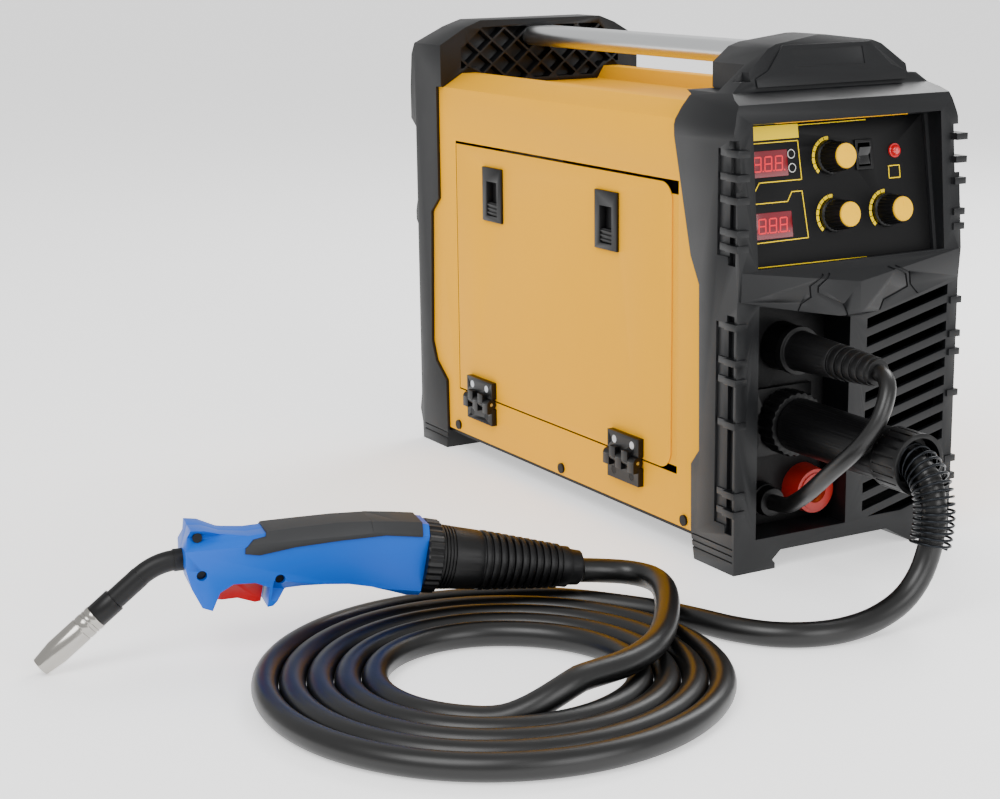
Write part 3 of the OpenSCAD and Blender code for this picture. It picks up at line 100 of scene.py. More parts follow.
def surface(name, color, roughness, metallic=0.0, ior=1.5, grain=None, depth=0.0, mottle=0.0, wear=0.0,
            stretch=None,
            coat=0.0, glow=None, glow_strength=0.0, inside=None):
    """Principled surface with a procedural grain: grain is the size of its bumps in mm, depth their height in mm,
    mottle how far the colour wanders and wear how far the roughness wanders. With inside, faces that do not look out
    of the case take that colour as painted shade, by the outside attribute stored on the sheet's faces."""
    material = bpy.data.materials.new(name)
    material.use_nodes = True
    tree = material.node_tree
    shader = tree.nodes["Principled BSDF"]
    shader.inputs["Base Color"].default_value = rgb(color)
    shader.inputs["Roughness"].default_value = roughness
    shader.inputs["Metallic"].default_value = metallic
    shader.inputs["IOR"].default_value = ior
    shader.inputs["Coat Weight"].default_value = coat
    shader.inputs["Coat Roughness"].default_value = 0.08
    if glow:
        shader.inputs["Emission Color"].default_value = rgb(glow)
        shader.inputs["Emission Strength"].default_value = glow_strength
    place = add_node(tree, "ShaderNodeTexCoord").outputs["Object"]
    if stretch:
        place = add_node(tree, "ShaderNodeMapping", {"Vector": place}, Scale=stretch).outputs["Vector"]
    if mottle:
        patch = add_node(tree, "ShaderNodeTexNoise", {"Vector": place}, Scale=18.0, Detail=3.0)
        mix = add_node(tree, "ShaderNodeMix", {0: patch.outputs["Fac"]}, data_type="RGBA")
        base = rgb(color)
        mix.inputs["A"].default_value = tuple(c * (1 - mottle) for c in base[:3]) + (1.0,)
        mix.inputs["B"].default_value = tuple(min(1.0, c * (1 + mottle)) for c in base[:3]) + (1.0,)
        tree.links.new(mix.outputs["Result"], shader.inputs["Base Color"])
        # painted shade: the near-black inside colour, where the sheet does not look out, stands for the unlit inside
        # of the case
        if inside:
            painted_shade_mask = add_node(tree, "ShaderNodeVertexColor", layer_name="outside").outputs["Color"]
            outer = add_node(tree, "ShaderNodeMix", {0: painted_shade_mask}, data_type="RGBA")
            outer.inputs["A"].default_value = rgb(inside)
            tree.links.new(mix.outputs["Result"], outer.inputs["B"])
            tree.links.new(outer.outputs["Result"], shader.inputs["Base Color"])
    if wear:
        smear = add_node(tree, "ShaderNodeTexNoise", {"Vector": place}, Scale=45.0, Detail=4.0)
        span = add_node(tree, "ShaderNodeMapRange", {"Value": smear.outputs["Fac"]}, To_Min=roughness - wear,
                        To_Max=roughness + wear)
        tree.links.new(span.outputs["Result"], shader.inputs["Roughness"])
    if grain:
        bumps = add_node(tree, "ShaderNodeTexNoise", {"Vector": place}, Scale=1000.0 / grain / 2, Detail=2.0)
        bump = add_node(tree, "ShaderNodeBump", {"Height": bumps.outputs["Fac"]}, Strength=1.0,
                        Distance=depth * MM)
        tree.links.new(bump.outputs["Normal"], shader.inputs["Normal"])
    MATERIALS[name] = material
    return material


def make_materials():
    """Every finish of the welder, named by the real material and its process."""
    # smooth even yellow with little shine and the faint ripple of baked powder; the inside of the case gets
    # near-black painted shade in place of its own yellow, which lies in shade
    surface("powder coated steel yellow", "#F0AA00", 0.5, ior=1.15, grain=1.6, depth=0.008, mottle=0.02,
            wear=0.03,
            inside="#070707")
    surface("textured paint on steel black", "#060607", 0.55, ior=1.35, grain=0.6, depth=0.05, wear=0.05)
    # dark grey with a fine even spark-eroded texture that catches a soft sheen
    surface("moulded ABS charcoal", "#0D0E10", 0.42, ior=1.38, grain=0.45, depth=0.03, mottle=0.05, wear=0.05)
    # near black, slightly shiny on edges
    surface("glass filled nylon black", "#060607", 0.4, ior=1.36, grain=0.5, depth=0.012, wear=0.05)
    surface("gloss ABS black", "#060607", 0.18, grain=3.0, depth=0.004, wear=0.03)
    surface("drawn aluminium anodised", "#DADCDD", 0.3, metallic=1.0, stretch=(1, 0.02, 1), grain=0.25,
            depth=0.008,
            wear=0.06)
    surface("zinc plated steel", "#B5B8BC", 0.32, metallic=1.0, grain=0.5, depth=0.01, wear=0.08)
    surface("galvanised steel sheet", "#A3A6AA", 0.42, metallic=1.0, grain=6.0, depth=0.01, mottle=0.12,
            wear=0.08)
    # flat satin film with a faint orange peel
    surface("printed polyester film black", "#030304", 0.45, ior=1.3, grain=1.2, depth=0.004, wear=0.03)
    surface("screen ink yellow", "#F0CC10", 0.5, ior=1.2, grain=0.4, depth=0.004, mottle=0.03)
    surface("screen ink white", "#D9D9D4", 0.45, grain=0.4, depth=0.004, mottle=0.03)
    surface("moulded cap pale yellow", "#F2B800", 0.45, ior=1.2, grain=0.8, depth=0.01, mottle=0.02,
            wear=0.03)
    surface("tinted acrylic red", "#70061A", 0.2, ior=1.49, grain=8.0, depth=0.002, coat=0.6)
    surface("display segment red", "#D2122A", 0.4, grain=0.5, depth=0.002, glow="#FF1028", glow_strength=0.3)
    surface("moulded acetal red", "#B8000C", 0.26, grain=1.0, depth=0.008, mottle=0.02, wear=0.03)
    surface("signal lens red", "#B80D18", 0.1, grain=4.0, depth=0.003, coat=0.8, glow="#FF1010",
            glow_strength=0.12)
    surface("phenolic brick red", "#A01A10", 0.4, grain=0.5, depth=0.02, mottle=0.06, wear=0.05)
    surface("turned brass", "#C79B45", 0.25, metallic=1.0, grain=0.3, depth=0.006, wear=0.08)
    # soft black with a dull bloom
    surface("moulded rubber black", "#050506", 0.46, ior=1.38, grain=0.5, depth=0.02, mottle=0.05, wear=0.08)
    surface("extruded rubber jacket black", "#060606", 0.36, grain=0.8, depth=0.015, mottle=0.04, wear=0.06)
    surface("blued spring steel", "#26282B", 0.32, metallic=1.0, grain=0.5, depth=0.006, wear=0.08)
    surface("moulded ABS blue", "#0056C0", 0.4, ior=1.35, grain=0.5, depth=0.02, mottle=0.02, wear=0.05)
    surface("overmoulded elastomer grey", "#1C1D1F", 0.62, grain=0.4, depth=0.03, mottle=0.04, wear=0.05)
    surface("nickel plated copper", "#A9A6A0", 0.2, metallic=1.0, grain=0.6, depth=0.006, wear=0.08)
    surface("machined copper alloy", "#B5703A", 0.28, metallic=1.0, grain=0.4, depth=0.006, wear=0.08)
    surface("moulded polystyrene white", "#D6D6D0", 0.42, grain=0.8, depth=0.012, mottle=0.02)
    surface("die cast aluminium", "#7F8286", 0.45, metallic=1.0, grain=0.7, depth=0.03, wear=0.08)
    surface("ground tool steel", "#A9ACB0", 0.25, metallic=1.0, grain=0.3, depth=0.006, wear=0.06)
    surface("solder resist green", "#175A30", 0.3, grain=1.0, depth=0.01, mottle=0.08)
    surface("matte studio floor", "#FFFFFF", 0.6, grain=3.0, depth=0.01, mottle=0.004, glow="#FFFFFF",
            glow_strength=0.7)


# ---------------------------------------------------------------- mesh helpers

def finish_mesh(name, bm, material, body, stands_for=(), angle=32, matrix=None):
    """Turns a bmesh into a placed piece that rides on a body of the frame."""
    if matrix is not None:
        bmesh.ops.transform(bm, matrix=matrix, verts=bm.verts)
    bmesh.ops.recalc_face_normals(bm, faces=bm.faces)
    mesh = bpy.data.meshes.new(name)
    bm.to_mesh(mesh)
    bm.free()
    mesh.materials.append(MATERIALS[material])
    mesh.shade_smooth()
    mesh.set_sharp_from_angle(angle=math.radians(angle))
    made = bpy.data.objects.new(name, mesh)
    bpy.context.scene.collection.objects.link(made)
    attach(made, body)
    if stands_for:
        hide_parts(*stands_for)
    return made


def cad_bmesh(*nodes):
    """Welded copy of CAD nodes with their flat faces joined up again, in millimetres in the row frame."""
    bm = bmesh.new()
    for node in nodes:
        bm.from_mesh(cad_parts[node].data)
    bmesh.ops.remove_doubles(bm, verts=bm.verts, dist=2e-6)
    bmesh.ops.dissolve_limit(bm, angle_limit=math.radians(0.4), verts=bm.verts, edges=bm.edges)
    return bm


def soften(bm, width, segments=2, angle=28, least=3.0):
    """Rounds the sharp edges of a bmesh by width metres, where they are least times as long."""
    edges = [e for e in bm.edges if len(e.link_faces) == 2 and e.calc_face_angle(0) > math.radians(angle)
             and e.calc_length() > width * least]
    if edges:
        bmesh.ops.bevel(bm, geom=edges, offset=width, offset_type="OFFSET", segments=segments, profile=0.5,
                        affect="EDGES", clamp_overlap=True, material=-1)


def softened_copy(name, nodes, material, body, width, segments=2, angle=28, least=3.0):
    """Replaces CAD nodes by a copy with rounded edges."""
    bm = cad_bmesh(*nodes)
    if width:
        soften(bm, width * MM, segments, angle, least)
    return finish_mesh(name, bm, material, body, nodes)


def add_box(bm, lo, hi, matrix=None):
    """Adds a box between two corners."""
    lo, hi = Vector(lo), Vector(hi)
    size = hi - lo
    place = Matrix.Translation((lo + hi) / 2) @ Matrix.Diagonal((size.x, size.y, size.z, 1))
    if matrix is not None:
        place = matrix @ place
    return bmesh.ops.create_cube(bm, size=1.0, matrix=place)["verts"]


def add_prism(bm, outline, depth0, depth1, plane="XZ", matrix=None):
    """Adds an extruded outline: its points lie in the named plane and it runs from depth0 to depth1 across it."""
    def spot(a, b, d):
        return Vector({"XZ": (a, d, b), "YZ": (d, a, b), "XY": (a, b, d)}[plane])

    rows = [[bm.verts.new(spot(a, b, d)) for a, b in outline] for d in (depth0, depth1)]
    n = len(outline)
    faces = [bm.faces.new(rows[0]), bm.faces.new(list(reversed(rows[1])))]
    for i in range(n):
        faces.append(bm.faces.new((rows[0][i], rows[1][i], rows[1][(i + 1) % n], rows[0][(i + 1) % n])))
    if matrix is not None:
        bmesh.ops.transform(bm, matrix=matrix, verts=rows[0] + rows[1])
    return faces


def add_lathe(bm, profile, steps=48, matrix=None, ribs=0, rib_depth=0.0):
    """Adds a turned body: profile is (distance along x, radius) pairs; ribs wave the radius round the body."""
    rings = []
    for x, r in profile:
        ring = []
        for k in range(steps):
            a = 2 * math.pi * k / steps
            grow = rib_depth * (0.5 + 0.5 * math.cos(ribs * a)) if ribs else 0.0
            ring.append(bm.verts.new((x, (r + grow) * math.cos(a), (r + grow) * math.sin(a))))
        rings.append(ring)
    for lower, upper in zip(rings, rings[1:]):
        for k in range(steps):
            bm.faces.new((lower[k], lower[(k + 1) % steps], upper[(k + 1) % steps], upper[k]))
    bm.faces.new(list(reversed(rings[0])))
    bm.faces.new(rings[-1])
    if matrix is not None:
        bmesh.ops.transform(bm, matrix=matrix, verts=[v for ring in rings for v in ring])


def along_y(x, z):
    """Matrix that lays a turned body along -Y through x, z of the case, its start towards the case."""
    return CASE @ Matrix.Translation((x, 0, z)) @ Matrix.Rotation(-math.pi / 2, 4, "Z")


def smooth_line(points, step):
    """Evenly spaced points on a smooth curve through the given ones (all in mm)."""
    points = [Vector(p) for p in points]
    dense = []
    for i in range(len(points) - 1):
        a, b, c, d = points[max(i - 1, 0)], points[i], points[i + 1], points[min(i + 2, len(points) - 1)]
        for j in range(24):
            t = j / 24
            dense.append(0.5 * (2 * b + (c - a) * t + (2 * a - 5 * b + 4 * c - d) * t * t
                                + (3 * b - a - 3 * c + d) * t ** 3))
    dense.append(points[-1])
    lengths = [0.0]
    for p, q in zip(dense, dense[1:]):
        lengths.append(lengths[-1] + (q - p).length)
    count = max(2, round(lengths[-1] / step))
    out, i = [], 0
    for k in range(count + 1):
        want = lengths[-1] * k / count
        while i < len(lengths) - 2 and lengths[i + 1] < want:
            i += 1
        span = max(lengths[i + 1] - lengths[i], 1e-9)
        out.append(dense[i].lerp(dense[i + 1], (want - lengths[i]) / span))
    return out


def line_length(points):
    return sum((q - p).length for p, q in zip(points, points[1:]))


def curve_piece(name, points, radius, material, body, stands_for=(), sides=10):
    """Open round tube along points of the case frame, as a curve with a bevel."""
    data = bpy.data.curves.new(name, "CURVE")
    data.dimensions = "3D"
    spline = data.splines.new("POLY")
    spline.points.add(len(points) - 1)
    for target, p in zip(spline.points, points):
        target.co = (*(CASE @ p), 1.0)
    data.bevel_depth = radius * MM
    data.bevel_resolution = sides
    data.use_fill_caps = True
    data.materials.append(MATERIALS[material])
    made = bpy.data.objects.new(name, data)
    bpy.context.scene.collection.objects.link(made)
    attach(made, body)
    if stands_for:
        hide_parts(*stands_for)
    return made


# ---------------------------------------------------------------- settings

class WelderLeadSettings(bpy.types.PropertyGroup):
    diameter: FloatProperty(name="Lead diameter", description="Diameter of the torch lead in millimetres",
                            default=17.0, min=14.0, max=20.0)
    pitch: FloatProperty(name="Turn pitch", description="Distance between neighbouring turns in millimetres",
                         default=17.1, min=17.0, max=20.0)
    turns: IntProperty(name="Turns", description="Number of inward steps of the flat coil", default=4,
                       min=2, max=6)
    jumper: FloatProperty(name="Polarity cable diameter",
                          description="Diameter of the polarity cable in millimetres",
                          default=12.0, min=8.0, max=14.0)


class WelderLookSettings(bpy.types.PropertyGroup):
    sheet_edge: FloatProperty(name="Sheet edge", description="Rounding of folded sheet edges in millimetres",
                              default=0.5, min=0.1, max=1.5)
    mould_edge: FloatProperty(name="Moulding edge", description="Rounding of moulded edges in millimetres",
                              default=0.8, min=0.1, max=2.0)
    lens: FloatProperty(name="Lens", description="Focal length of the camera in millimetres",
                        default=73.16, min=35,
                        max=150)


# ---------------------------------------------------------------- cords

LEAD_OUT = [(-40, -357, 104), (-40, -369, 103), (-40.5, -380.5, 95), (-42, -387.5, 81), (-44, -389.5, 65),
            (-48, -390, 48), (-57, -391, 32), (-72, -392, 19), (-95, -393, 11), (-122, -394, 8.7),
            (-147, -389, 8.7), (-168, -375, 8.7), (-183, -353, 8.7), (-193, -328, 8.7), (-205, -302, 8.7),
            (-223, -275, 8.7), (-243, -250, 8.7), (-266, -230, 8.7)]
SPRING = LEAD_OUT[:5] + [(-47, -390, 52)]
LEAD_BACK = [(-306, -409, 26.2), (-280, -397, 26.4), (-260, -381, 26.4), (-243, -362, 26.4),
             (-228, -342, 26.4), (-214, -321, 26.4), (-203, -300, 26.4), (-199, -280, 26.4),
             (-206, -263, 26.6), (-222, -254, 28.2), (-238, -250.5, 30.4)]
COIL = (-359.0, -343.0)
JUMPER = [(-58, -226, 46), (-58, -247, 48), (-63, -268, 58), (-68.5, -289.5, 71.5), (-71, -309.5, 87),
          (-70, -327, 102), (-66, -340, 116), (-59, -346, 130), (-52, -345.5, 143), (-46, -341, 153),
          (-42, -333, 158.5), (-41, -325, 160)]


def coil_points(settings):
    """The flat spiral from its outer start inward, then up onto the turns."""
    points = []
    inner = 143.0 - settings.pitch * settings.turns
    angle, last = 62.0, 62.0 + 360 * settings.turns + 228
    while angle <= last:
        turn, within = divmod(angle - 62.0, 360)
        step = min(turn, settings.turns)
        slide = max(0.0, (within - 250) / 110) if turn < settings.turns else 0.0
        slide = slide * slide * (3 - 2 * slide)
        radius = max(inner, 143.0 - settings.pitch * (step + slide))
        rise = max(0.0, min(1.0, (angle - (last - 52)) / 50))
        z = 8.7 + 17.5 * rise * rise * (3 - 2 * rise)
        a = math.radians(angle)
        points.append((COIL[0] + radius * math.cos(a), COIL[1] + radius * math.sin(a), z))
        angle += 8.0
    return points


class WELDER_OT_cords(bpy.types.Operator):
    """Lays the torch lead, its bend spring and the polarity cable"""
    bl_idname = "welder.cords"
    bl_label = "Cords"

    def execute(self, context):
        settings = context.scene.welder_lead
        line = smooth_line(LEAD_OUT + coil_points(settings) + LEAD_BACK, 6.0)
        lead = curve_piece("torch_lead", line, settings.diameter / 2, "extruded rubber jacket black", "case",
                           ("lead_run", "lead_coil", "lead_tail"))
        hose = smooth_line(JUMPER, 3.0)
        jumper = curve_piece("polarity_lead", hose, settings.jumper / 2, "extruded rubber jacket black",
                             "case",
                             ("polarity_cable",))
        spring = self.spring()
        plug = softened_copy("polarity_plug_body", ("polarity_plug",), "moulded rubber black", "case", 0.6, 3,
                             least=1.0)
        torch_plug = softened_copy("torch_plug_body", ("euro_plug",), "glass filled nylon black", "case",
                                   0.4, 2,
                                   least=1.0)
        return {"FINISHED"}

    def spring(self):
        """Open wound steel wire round the first bend of the lead"""
        line = smooth_line(SPRING, 0.25)
        turns = line_length(line) / 4.2
        wire = []
        side = Vector((1, 0, 0))
        for i, p in enumerate(line):
            forward = (line[min(i + 1, len(line) - 1)] - line[max(i - 1, 0)]).normalized()
            side = (side - forward * side.dot(forward)).normalized()
            other = forward.cross(side)
            a = 2 * math.pi * turns * i / len(line)
            wire.append(p + 13.5 * (math.cos(a) * side + math.sin(a) * other))
        return curve_piece("bend_spring_wire", wire, 0.95, "blued spring steel", "case", ("bend_spring",),
                           3)


# ---------------------------------------------------------------- case

def mark_painted_inside_shade(made, both_sides):
    """Stores on the corners of a sheet which faces show their paint; the other faces, inside the case, get painted
    shade
    """
    layer = made.data.color_attributes.new("outside", "FLOAT_COLOR", "CORNER")
    half_depth = (COVER_HI[1] - COVER_LO[1]) / 2
    roof_depth = 45 * MM
    for face in made.data.polygons:
        outward = face.normal.x * (1 if face.center.x > CASE_X else -1)
        top = face.normal.z > 0.1 and face.center.z > COVER_HI[2] - roof_depth
        rim = abs(face.normal.y) > 0.7 and abs(face.center.y - CASE_Y) > half_depth - 2 * MM
        value = 1.0 if both_sides or outward > 0.3 or top or rim else 0.0
        for corner in face.loop_indices:
            layer.data[corner].color = (value, value, value, 1.0)


class WELDER_OT_case(bpy.types.Operator):
    """Sheet cover, side door, base pan, bezels and handle bar"""
    bl_idname = "welder.case"
    bl_label = "Case"

    def execute(self, context):
        look = context.scene.welder_look
        for name, node, body in (("cover_sheet", "cover", "case"), ("door_sheet", "door", "door")):
            sheet = softened_copy(name, (node,), "powder coated steel yellow", body, look.sheet_edge, 2)
            # the cover's inner faces get near-black painted shade; the door keeps its yellow on both sides
            mark_painted_inside_shade(sheet, node == "door")
        softened_copy("floor_pan", ("base_pan",), "textured paint on steel black", "case", 0.3, 1)
        softened_copy("front_moulding", ("front_bezel",), "moulded ABS charcoal", "case", look.mould_edge, 2)
        softened_copy("rear_moulding", ("rear_bezel",), "moulded ABS charcoal", "case", look.mould_edge, 2)
        softened_copy("handle_tube", ("handle_bar",), "drawn aluminium anodised", "case", 0, 1)
        return {"FINISHED"}


class WELDER_OT_hardware(bpy.types.Operator):
    """Hinges, latches and screws"""
    bl_idname = "welder.hardware"
    bl_label = "Hinges and latches"

    def execute(self, context):
        nylon = "glass filled nylon black"
        softened_copy("door_leaves", ("door_hinge_leaves",), nylon, "door", 0.5, 2)
        softened_copy("case_leaves", ("case_hinge_leaves",), nylon, "case", 0.5, 2)
        softened_copy("pins", ("hinge_pins",), "zinc plated steel", "case", 0.3, 1)
        softened_copy("leaf_screws", ("door_screws",), "zinc plated steel", "door", 0.25, 2)
        softened_copy("body_screws", ("case_screws",), "textured paint on steel black", "case", 0.25, 2)
        softened_copy("latch_rims", ("latch_frames",), nylon, "door", 0.5, 2)
        softened_copy("rear_slider", ("rear_latch_slider",), nylon, "rear_latch", 0.3, 2)
        softened_copy("front_slider", ("front_latch_slider",), nylon, "front_latch", 0.3, 2)
        return {"FINISHED"}


# ---------------------------------------------------------------- control panel

class WELDER_OT_panel(bpy.types.Operator):
    """Control panel with displays, knobs, rocker and lamp"""
    bl_idname = "welder.panel"
    bl_label = "Control panel"

    def execute(self, context):
        softened_copy("panel_plate", ("fascia",), "printed polyester film black", "case", 0.3, 2)
        softened_copy("display_filters", ("display_windows",), "tinted acrylic red", "case", 0.3, 2)
        softened_copy("rocker_rims", ("switch_frames",), "glass filled nylon black", "case", 0.4, 2)
        softened_copy("mode_cap", ("mode_rocker",), "gloss ABS black", "mode_switch", 0.4, 2)
        softened_copy("lamp_lens", ("indicator_lamp",), "signal lens red", "case", 0.2, 2)
        for (node, body), (x, z) in zip(self.DIALS, self.DIAL_CENTRES):
            self.knob(node, body, x, z)
        self.prints()
        self.displays()
        return {"FINISHED"}

    DIALS = [("wire_speed_knob", "wire_speed_dial"), ("voltage_knob", "voltage_dial"),
             ("inductance_knob", "inductance_dial")]
    DIAL_CENTRES = [(-7, 76), (-7, 34), (42, 34)]
    # Printed borders of the panel as x, z points
    FRAMES = [[(-82.4, 90), (-34.2, 90), (-33.1, 62), (-71, 62), (-76, 55.3), (-82.4, 55.3)],
              [(-82.4, 47.3), (-47.2, 47.2), (-42.9, 53.8), (-33.6, 53.7), (-31, 19.8), (-82.4, 19.3)],
              [(47.8, 57), (58.1, 57), (58.1, 66), (47.8, 66), (47.8, 57)]]
    RULES = [[(-32.4, 100.9), (29, 101.2)], [(-79, 2), (21, 1.1)]]

    @staticmethod
    def stroke(bm, points, width, front=-0.12, back=0.02):
        """Flat printed line through x, z points of the panel"""
        for (x0, z0), (x1, z1) in zip(points, points[1:]):
            half = math.hypot(x1 - x0, z1 - z0) / 2 + width / 2
            place = (PANEL @ Matrix.Translation(((x0 + x1) / 2, 0, (z0 + z1) / 2))
                     @ Matrix.Rotation(-math.atan2(z1 - z0, x1 - x0), 4, "Y"))
            add_box(bm, (-half, front, -width / 2), (half, back, width / 2), place)

    def prints(self):
        """Borders, dial scales and blank badge of the panel"""
        white, yellow, black = bmesh.new(), bmesh.new(), bmesh.new()
        for line in self.FRAMES:
            self.stroke(yellow, line, 0.7)
        for z in (80.8, 70.8):
            for r, bm in ((3.3, white), (2.8, black)):
                place = PANEL @ Matrix.Translation((-40.8, 0, z)) @ Matrix.Rotation(-math.pi / 2, 4, "Z")
                add_lathe(bm, [(0, r), (0.12 if bm is white else 0.2, r)], 32, place)
        for line in self.RULES:
            self.stroke(yellow, line, 0.6)
        self.stroke(yellow, [(-77.4, 97), (-38, 97)], 10)
        for x, z in self.DIAL_CENTRES:
            arc = [math.radians(225 - 6 * i) for i in range(24)]
            band = [(x + 15.4 * math.cos(a), z + 15.4 * math.sin(a)) for a in arc]
            band += [(x + 12.9 * math.cos(a), z + 12.9 * math.sin(a)) for a in reversed(arc)]
            add_prism(yellow, band, -0.12, 0.02, matrix=PANEL)
            for a in arc[2::3]:
                self.stroke(black, [(x + r * math.cos(a), z + r * math.sin(a)) for r in (13.1, 15.2)], 0.5,
                            -0.16)
        finish_mesh("panel_print_white", white, "screen ink white", "case")
        finish_mesh("panel_print_yellow", yellow, "screen ink yellow", "case")
        finish_mesh("panel_print_black", black, "printed polyester film black", "case")

    def displays(self):
        """Seven bar digits behind the two red windows"""
        bars = [[(-2.3, 5), (2.3, 5)], [(-2.3, 0), (2.3, 0)], [(-2.3, -5), (2.3, -5)], [(-3, 0.6), (-3, 4.4)],
                [(3, 0.6), (3, 4.4)], [(-3, -4.4), (-3, -0.6)], [(3, -4.4), (3, -0.6)], [(4.9, -5), (5, -5)]]
        bm = bmesh.new()
        for z in (75, 31):
            for x in (-71, -61.5, -52):
                for bar in bars:
                    self.stroke(bm, [(x + a + b * 0.08, z + b) for a, b in bar], 1.1, 0.2, 0.34)
        finish_mesh("display_digits", bm, "display segment red", "case")

    def knob(self, node, body, x, z):
        """Skirted black knob with a fine fluted grip and a pale cap"""
        place = PANEL @ Matrix.Translation((x, 0, z)) @ Matrix.Rotation(-math.pi / 2, 4, "Z")
        bm = bmesh.new()
        add_lathe(bm, [(0.5, 12.1), (0.9, 12.5), (3.1, 12.5), (3.8, 11.9), (4.2, 11.2)], 72, place)
        add_lathe(bm, [(4.0, 10.9), (18.0, 9.7), (19.0, 9.2)], 144, place, 24, 0.55)
        finish_mesh(node + "_grip", bm, "glass filled nylon black", body, (node,))
        bm = bmesh.new()
        add_lathe(bm, [(18.6, 9.0), (20.2, 9.0), (20.9, 8.5), (21.1, 7.6)], 64, place)
        add_box(bm, (20.9, -0.5, 3), (21.3, 0.5, 7), place)
        finish_mesh(node + "_cap", bm, "moulded cap pale yellow", body)


# ---------------------------------------------------------------- connectors

class WELDER_OT_connectors(bpy.types.Operator):
    """Sockets, nut and glands in the front bay"""
    bl_idname = "welder.connectors"
    bl_label = "Connectors"

    def execute(self, context):
        nylon = "glass filled nylon black"
        softened_copy("bay_plate", ("connector_plate",), "textured paint on steel black", "case", 0.3, 2)
        softened_copy("negative_socket", ("black_socket",), nylon, "case", 0.5, 2)
        softened_copy("positive_socket_body", ("red_socket",), "phenolic brick red", "case", 0.5, 2)
        softened_copy("socket_inserts", ("socket_brass",), "turned brass", "case", 0.3, 2)
        softened_copy("gland_bodies", ("cable_glands",), nylon, "case", 0.5, 2)
        softened_copy("torch_socket", ("euro_socket",), nylon, "case", 0.5, 2)
        bm = bmesh.new()
        outside = [(218.3, 21), (219, 22.8), (220.5, 23.4), (234, 23.4), (235.8, 22.8), (236.3, 21.4)]
        bore = [(236.3, 17.6), (222.3, 17.6), (222.3, 20), (218.3, 20)]
        add_lathe(bm, outside + bore, 144, along_y(-40, 104), 24, 1.2)
        finish_mesh("torch_nut", bm, nylon, "lead_nut", ("euro_nut",))
        return {"FINISHED"}


# ---------------------------------------------------------------- torch

class WELDER_OT_torch(bpy.types.Operator):
    """Torch handle, grip pad, trigger, ring, boot, neck and nozzle"""
    bl_idname = "welder.torch"
    bl_label = "Torch"

    def execute(self, context):
        for side in ("left", "right"):
            softened_copy("torch_grip_" + side, ("torch_handle_" + side,), "moulded ABS blue", "case", 0.7, 3,
                          least=1.0)
        softened_copy("grip_overlay", ("torch_grip_pad",), "overmoulded elastomer grey", "case", 0.5, 2,
                      least=1.0)
        softened_copy("trigger_lever", ("torch_trigger",), "moulded acetal red", "trigger", 1.0, 3,
                      least=1.0)
        softened_copy("handle_screws", ("torch_screws",), "blued spring steel", "case", 0.2, 2)
        softened_copy("neck_tube", ("torch_neck",), "moulded rubber black", "case", 0, 1)
        softened_copy("insulator_collar", ("nozzle_insulator",), "glass filled nylon black", "case", 0.4, 2,
                      least=1.0)
        softened_copy("gas_cup", ("gas_nozzle",), "nickel plated copper", "case", 0.2, 2, least=1.0)
        softened_copy("tip_insert", ("contact_tip",), "machined copper alloy", "case", 0.2, 1,
                      least=1.0)
        softened_copy("boot_bellows", ("torch_boot",), "moulded rubber black", "case", 0.5, 2,
                      least=1.0)
        bm = bmesh.new()
        add_lathe(bm, [(-11, 22.8), (-10.4, 23.8), (-1, 24.3), (0, 23.6), (0, 15), (-11, 15)], 160, TORCH,
                  32, 1.0)
        finish_mesh("swivel_ring", bm, "glass filled nylon black", "case", ("torch_ring",))
        return {"FINISHED"}


# ---------------------------------------------------------------- inside and rear

class WELDER_OT_inside(bpy.types.Operator):
    """Pieces inside the case and on its rear"""
    bl_idname = "welder.inside"
    bl_label = "Inside and rear"

    PIECES = [
        ("panel_board", "control_board", "solder resist green", "case", "board", 0.2),
        ("centre_panel", "divider_panel", "galvanised steel sheet", "case", "galvanised", 0.2),
        ("spool", "wire_spool", "moulded polystyrene white", "spool", "spool_plastic", 0.5),
        ("feed_unit", "wire_feeder", "die cast aluminium", "case", "die_cast", 0.5),
        ("feed_roll", "drive_roller", "ground tool steel", "driven_roll", "steel_roller", 0.2),
        ("idler_roll", "pressure_roller", "ground tool steel", "idle_roll", "steel_roller", 0.2),
        ("feed_arm", "pressure_arm", "glass filled nylon black", "arm", "black_plastic", 0.4),
        ("tension_dial", "tension_knob", "moulded acetal red", "tension", "red_plastic", 0.4),
        ("inverter_board", "power_board", "solder resist green", "case", "board", 0.2),
        ("fan_housing", "fan_frame", "glass filled nylon black", "case", "black_plastic", 0.4),
        ("fan_wheel", "fan_rotor", "glass filled nylon black", "fan", "black_plastic", 0.2),
        ("mains_cap", "power_rocker", "moulded acetal red", "mains_switch", "red_plastic", 0.4),
        ("gas_tail", "gas_inlet", "turned brass", "case", "brass", 0.3),
    ]

    def execute(self, context):
        for name, node, material, body, slot, width in self.PIECES:
            softened_copy(name, (node,), material, body, width, 2)
        return {"FINISHED"}


# ---------------------------------------------------------------- stage

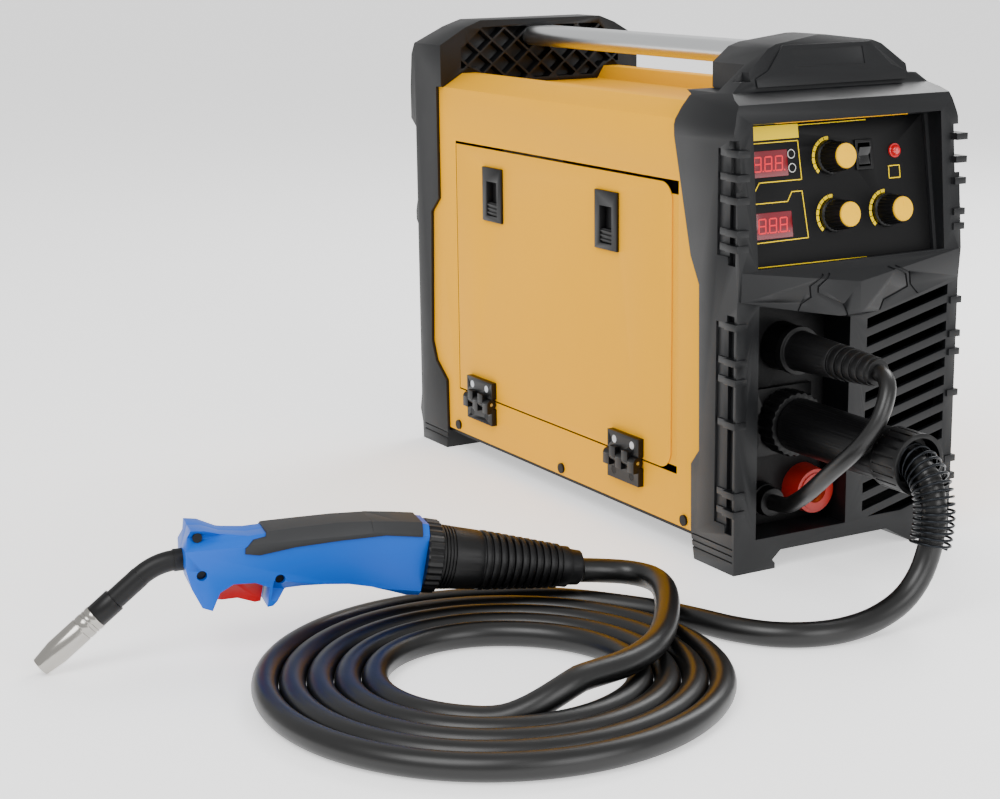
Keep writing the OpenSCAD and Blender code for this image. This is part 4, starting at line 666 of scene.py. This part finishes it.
class WELDER_OT_stage(bpy.types.Operator):
    """Floor, lights and camera"""
    bl_idname = "welder.stage"
    bl_label = "Stage"

    def execute(self, context):
        scene = context.scene
        bm = bmesh.new()
        bmesh.ops.create_grid(bm, x_segments=1, y_segments=1, size=14.0)
        mesh = bpy.data.meshes.new("studio_floor")
        bm.to_mesh(mesh)
        bm.free()
        mesh.materials.append(MATERIALS["matte studio floor"])
        floor = bpy.data.objects.new("studio_floor", mesh)
        scene.collection.objects.link(floor)
        world = bpy.data.worlds.new("studio")
        world.use_nodes = True
        world.node_tree.nodes["Background"].inputs["Color"].default_value = (1, 1, 1, 1)
        world.node_tree.nodes["Background"].inputs["Strength"].default_value = 0.8
        scene.world = world
        for name, spot, aim, size, power in (
                ("key", (-1.6, -1.2, 2.3), (0.1, -0.1, 0.15), 1.6, 55.0),
                ("front", (0.3, -2.6, 1.1), (0.1, -0.1, 0.2), 1.4, 28.0),
                ("rim", (1.7, 0.6, 1.6), (0.2, 0.0, 0.2), 1.2, 34.0)):
            data = bpy.data.lights.new(name, "AREA")
            data.size = size
            data.energy = power
            lamp = bpy.data.objects.new(name, data)
            lamp.location = spot
            lamp.rotation_euler = (Vector(spot) - Vector(aim)).to_track_quat("Z", "Y").to_euler()
            scene.collection.objects.link(lamp)
        self.camera(scene)
        return {"FINISHED"}

    def camera(self, scene):
        """Long lens from the front left, a little above the case"""
        yaw, pitch, roll = (math.radians(a) for a in (-29.56, 13.35, -0.76))
        back = Vector((math.sin(yaw) * math.cos(pitch), -math.cos(yaw) * math.cos(pitch), math.sin(pitch)))
        right = (-back).cross(Vector((0, 0, 1))).normalized()
        up = right.cross(-back)
        data = bpy.data.cameras.new("camera")
        data.lens = scene.welder_look.lens
        data.sensor_width = 36.0
        data.clip_end = 60.0
        made = bpy.data.objects.new("camera", data)
        turned = Matrix((right * math.cos(roll) + up * math.sin(roll),
                         up * math.cos(roll) - right * math.sin(roll),
                         back)).transposed()
        made.matrix_world = Matrix.Translation(CASE @ Vector((-945.2, -1388.4, 469.9))) @ turned.to_4x4()
        scene.collection.objects.link(made)
        scene.camera = made


# ---------------------------------------------------------------- add-on

class WELDER_PT_sidebar(bpy.types.Panel):
    bl_label = "Welder"
    bl_idname = "WELDER_PT_sidebar"
    bl_space_type = "VIEW_3D"
    bl_region_type = "UI"
    bl_category = "Welder"

    def draw(self, context):
        layout = self.layout
        lead, look = context.scene.welder_lead, context.scene.welder_look
        for owner in (lead, look):
            column = layout.column(align=True)
            for key in owner.__annotations__:
                column.prop(owner, key)
        for step in STEPS:
            layout.operator("welder." + step)


STEPS = ("cords", "case", "hardware", "panel", "connectors", "torch", "inside", "stage")
CLASSES = (WelderLeadSettings, WelderLookSettings, WELDER_OT_cords, WELDER_OT_case, WELDER_OT_hardware,
           WELDER_OT_panel, WELDER_OT_connectors, WELDER_OT_torch, WELDER_OT_inside, WELDER_OT_stage,
           WELDER_PT_sidebar)


def register():
    for cls in CLASSES:
        bpy.utils.register_class(cls)
    bpy.types.Scene.welder_lead = PointerProperty(type=WelderLeadSettings)
    bpy.types.Scene.welder_look = PointerProperty(type=WelderLookSettings)


def unregister():
    del bpy.types.Scene.welder_look
    del bpy.types.Scene.welder_lead
    for cls in reversed(CLASSES):
        bpy.utils.unregister_class(cls)


def main():
    register()
    make_materials()
    for step in STEPS:
        if getattr(bpy.ops.welder, step)() != {"FINISHED"}:
            raise RuntimeError(f"the step {step} did not finish")


if __name__ == "__main__":
    main()
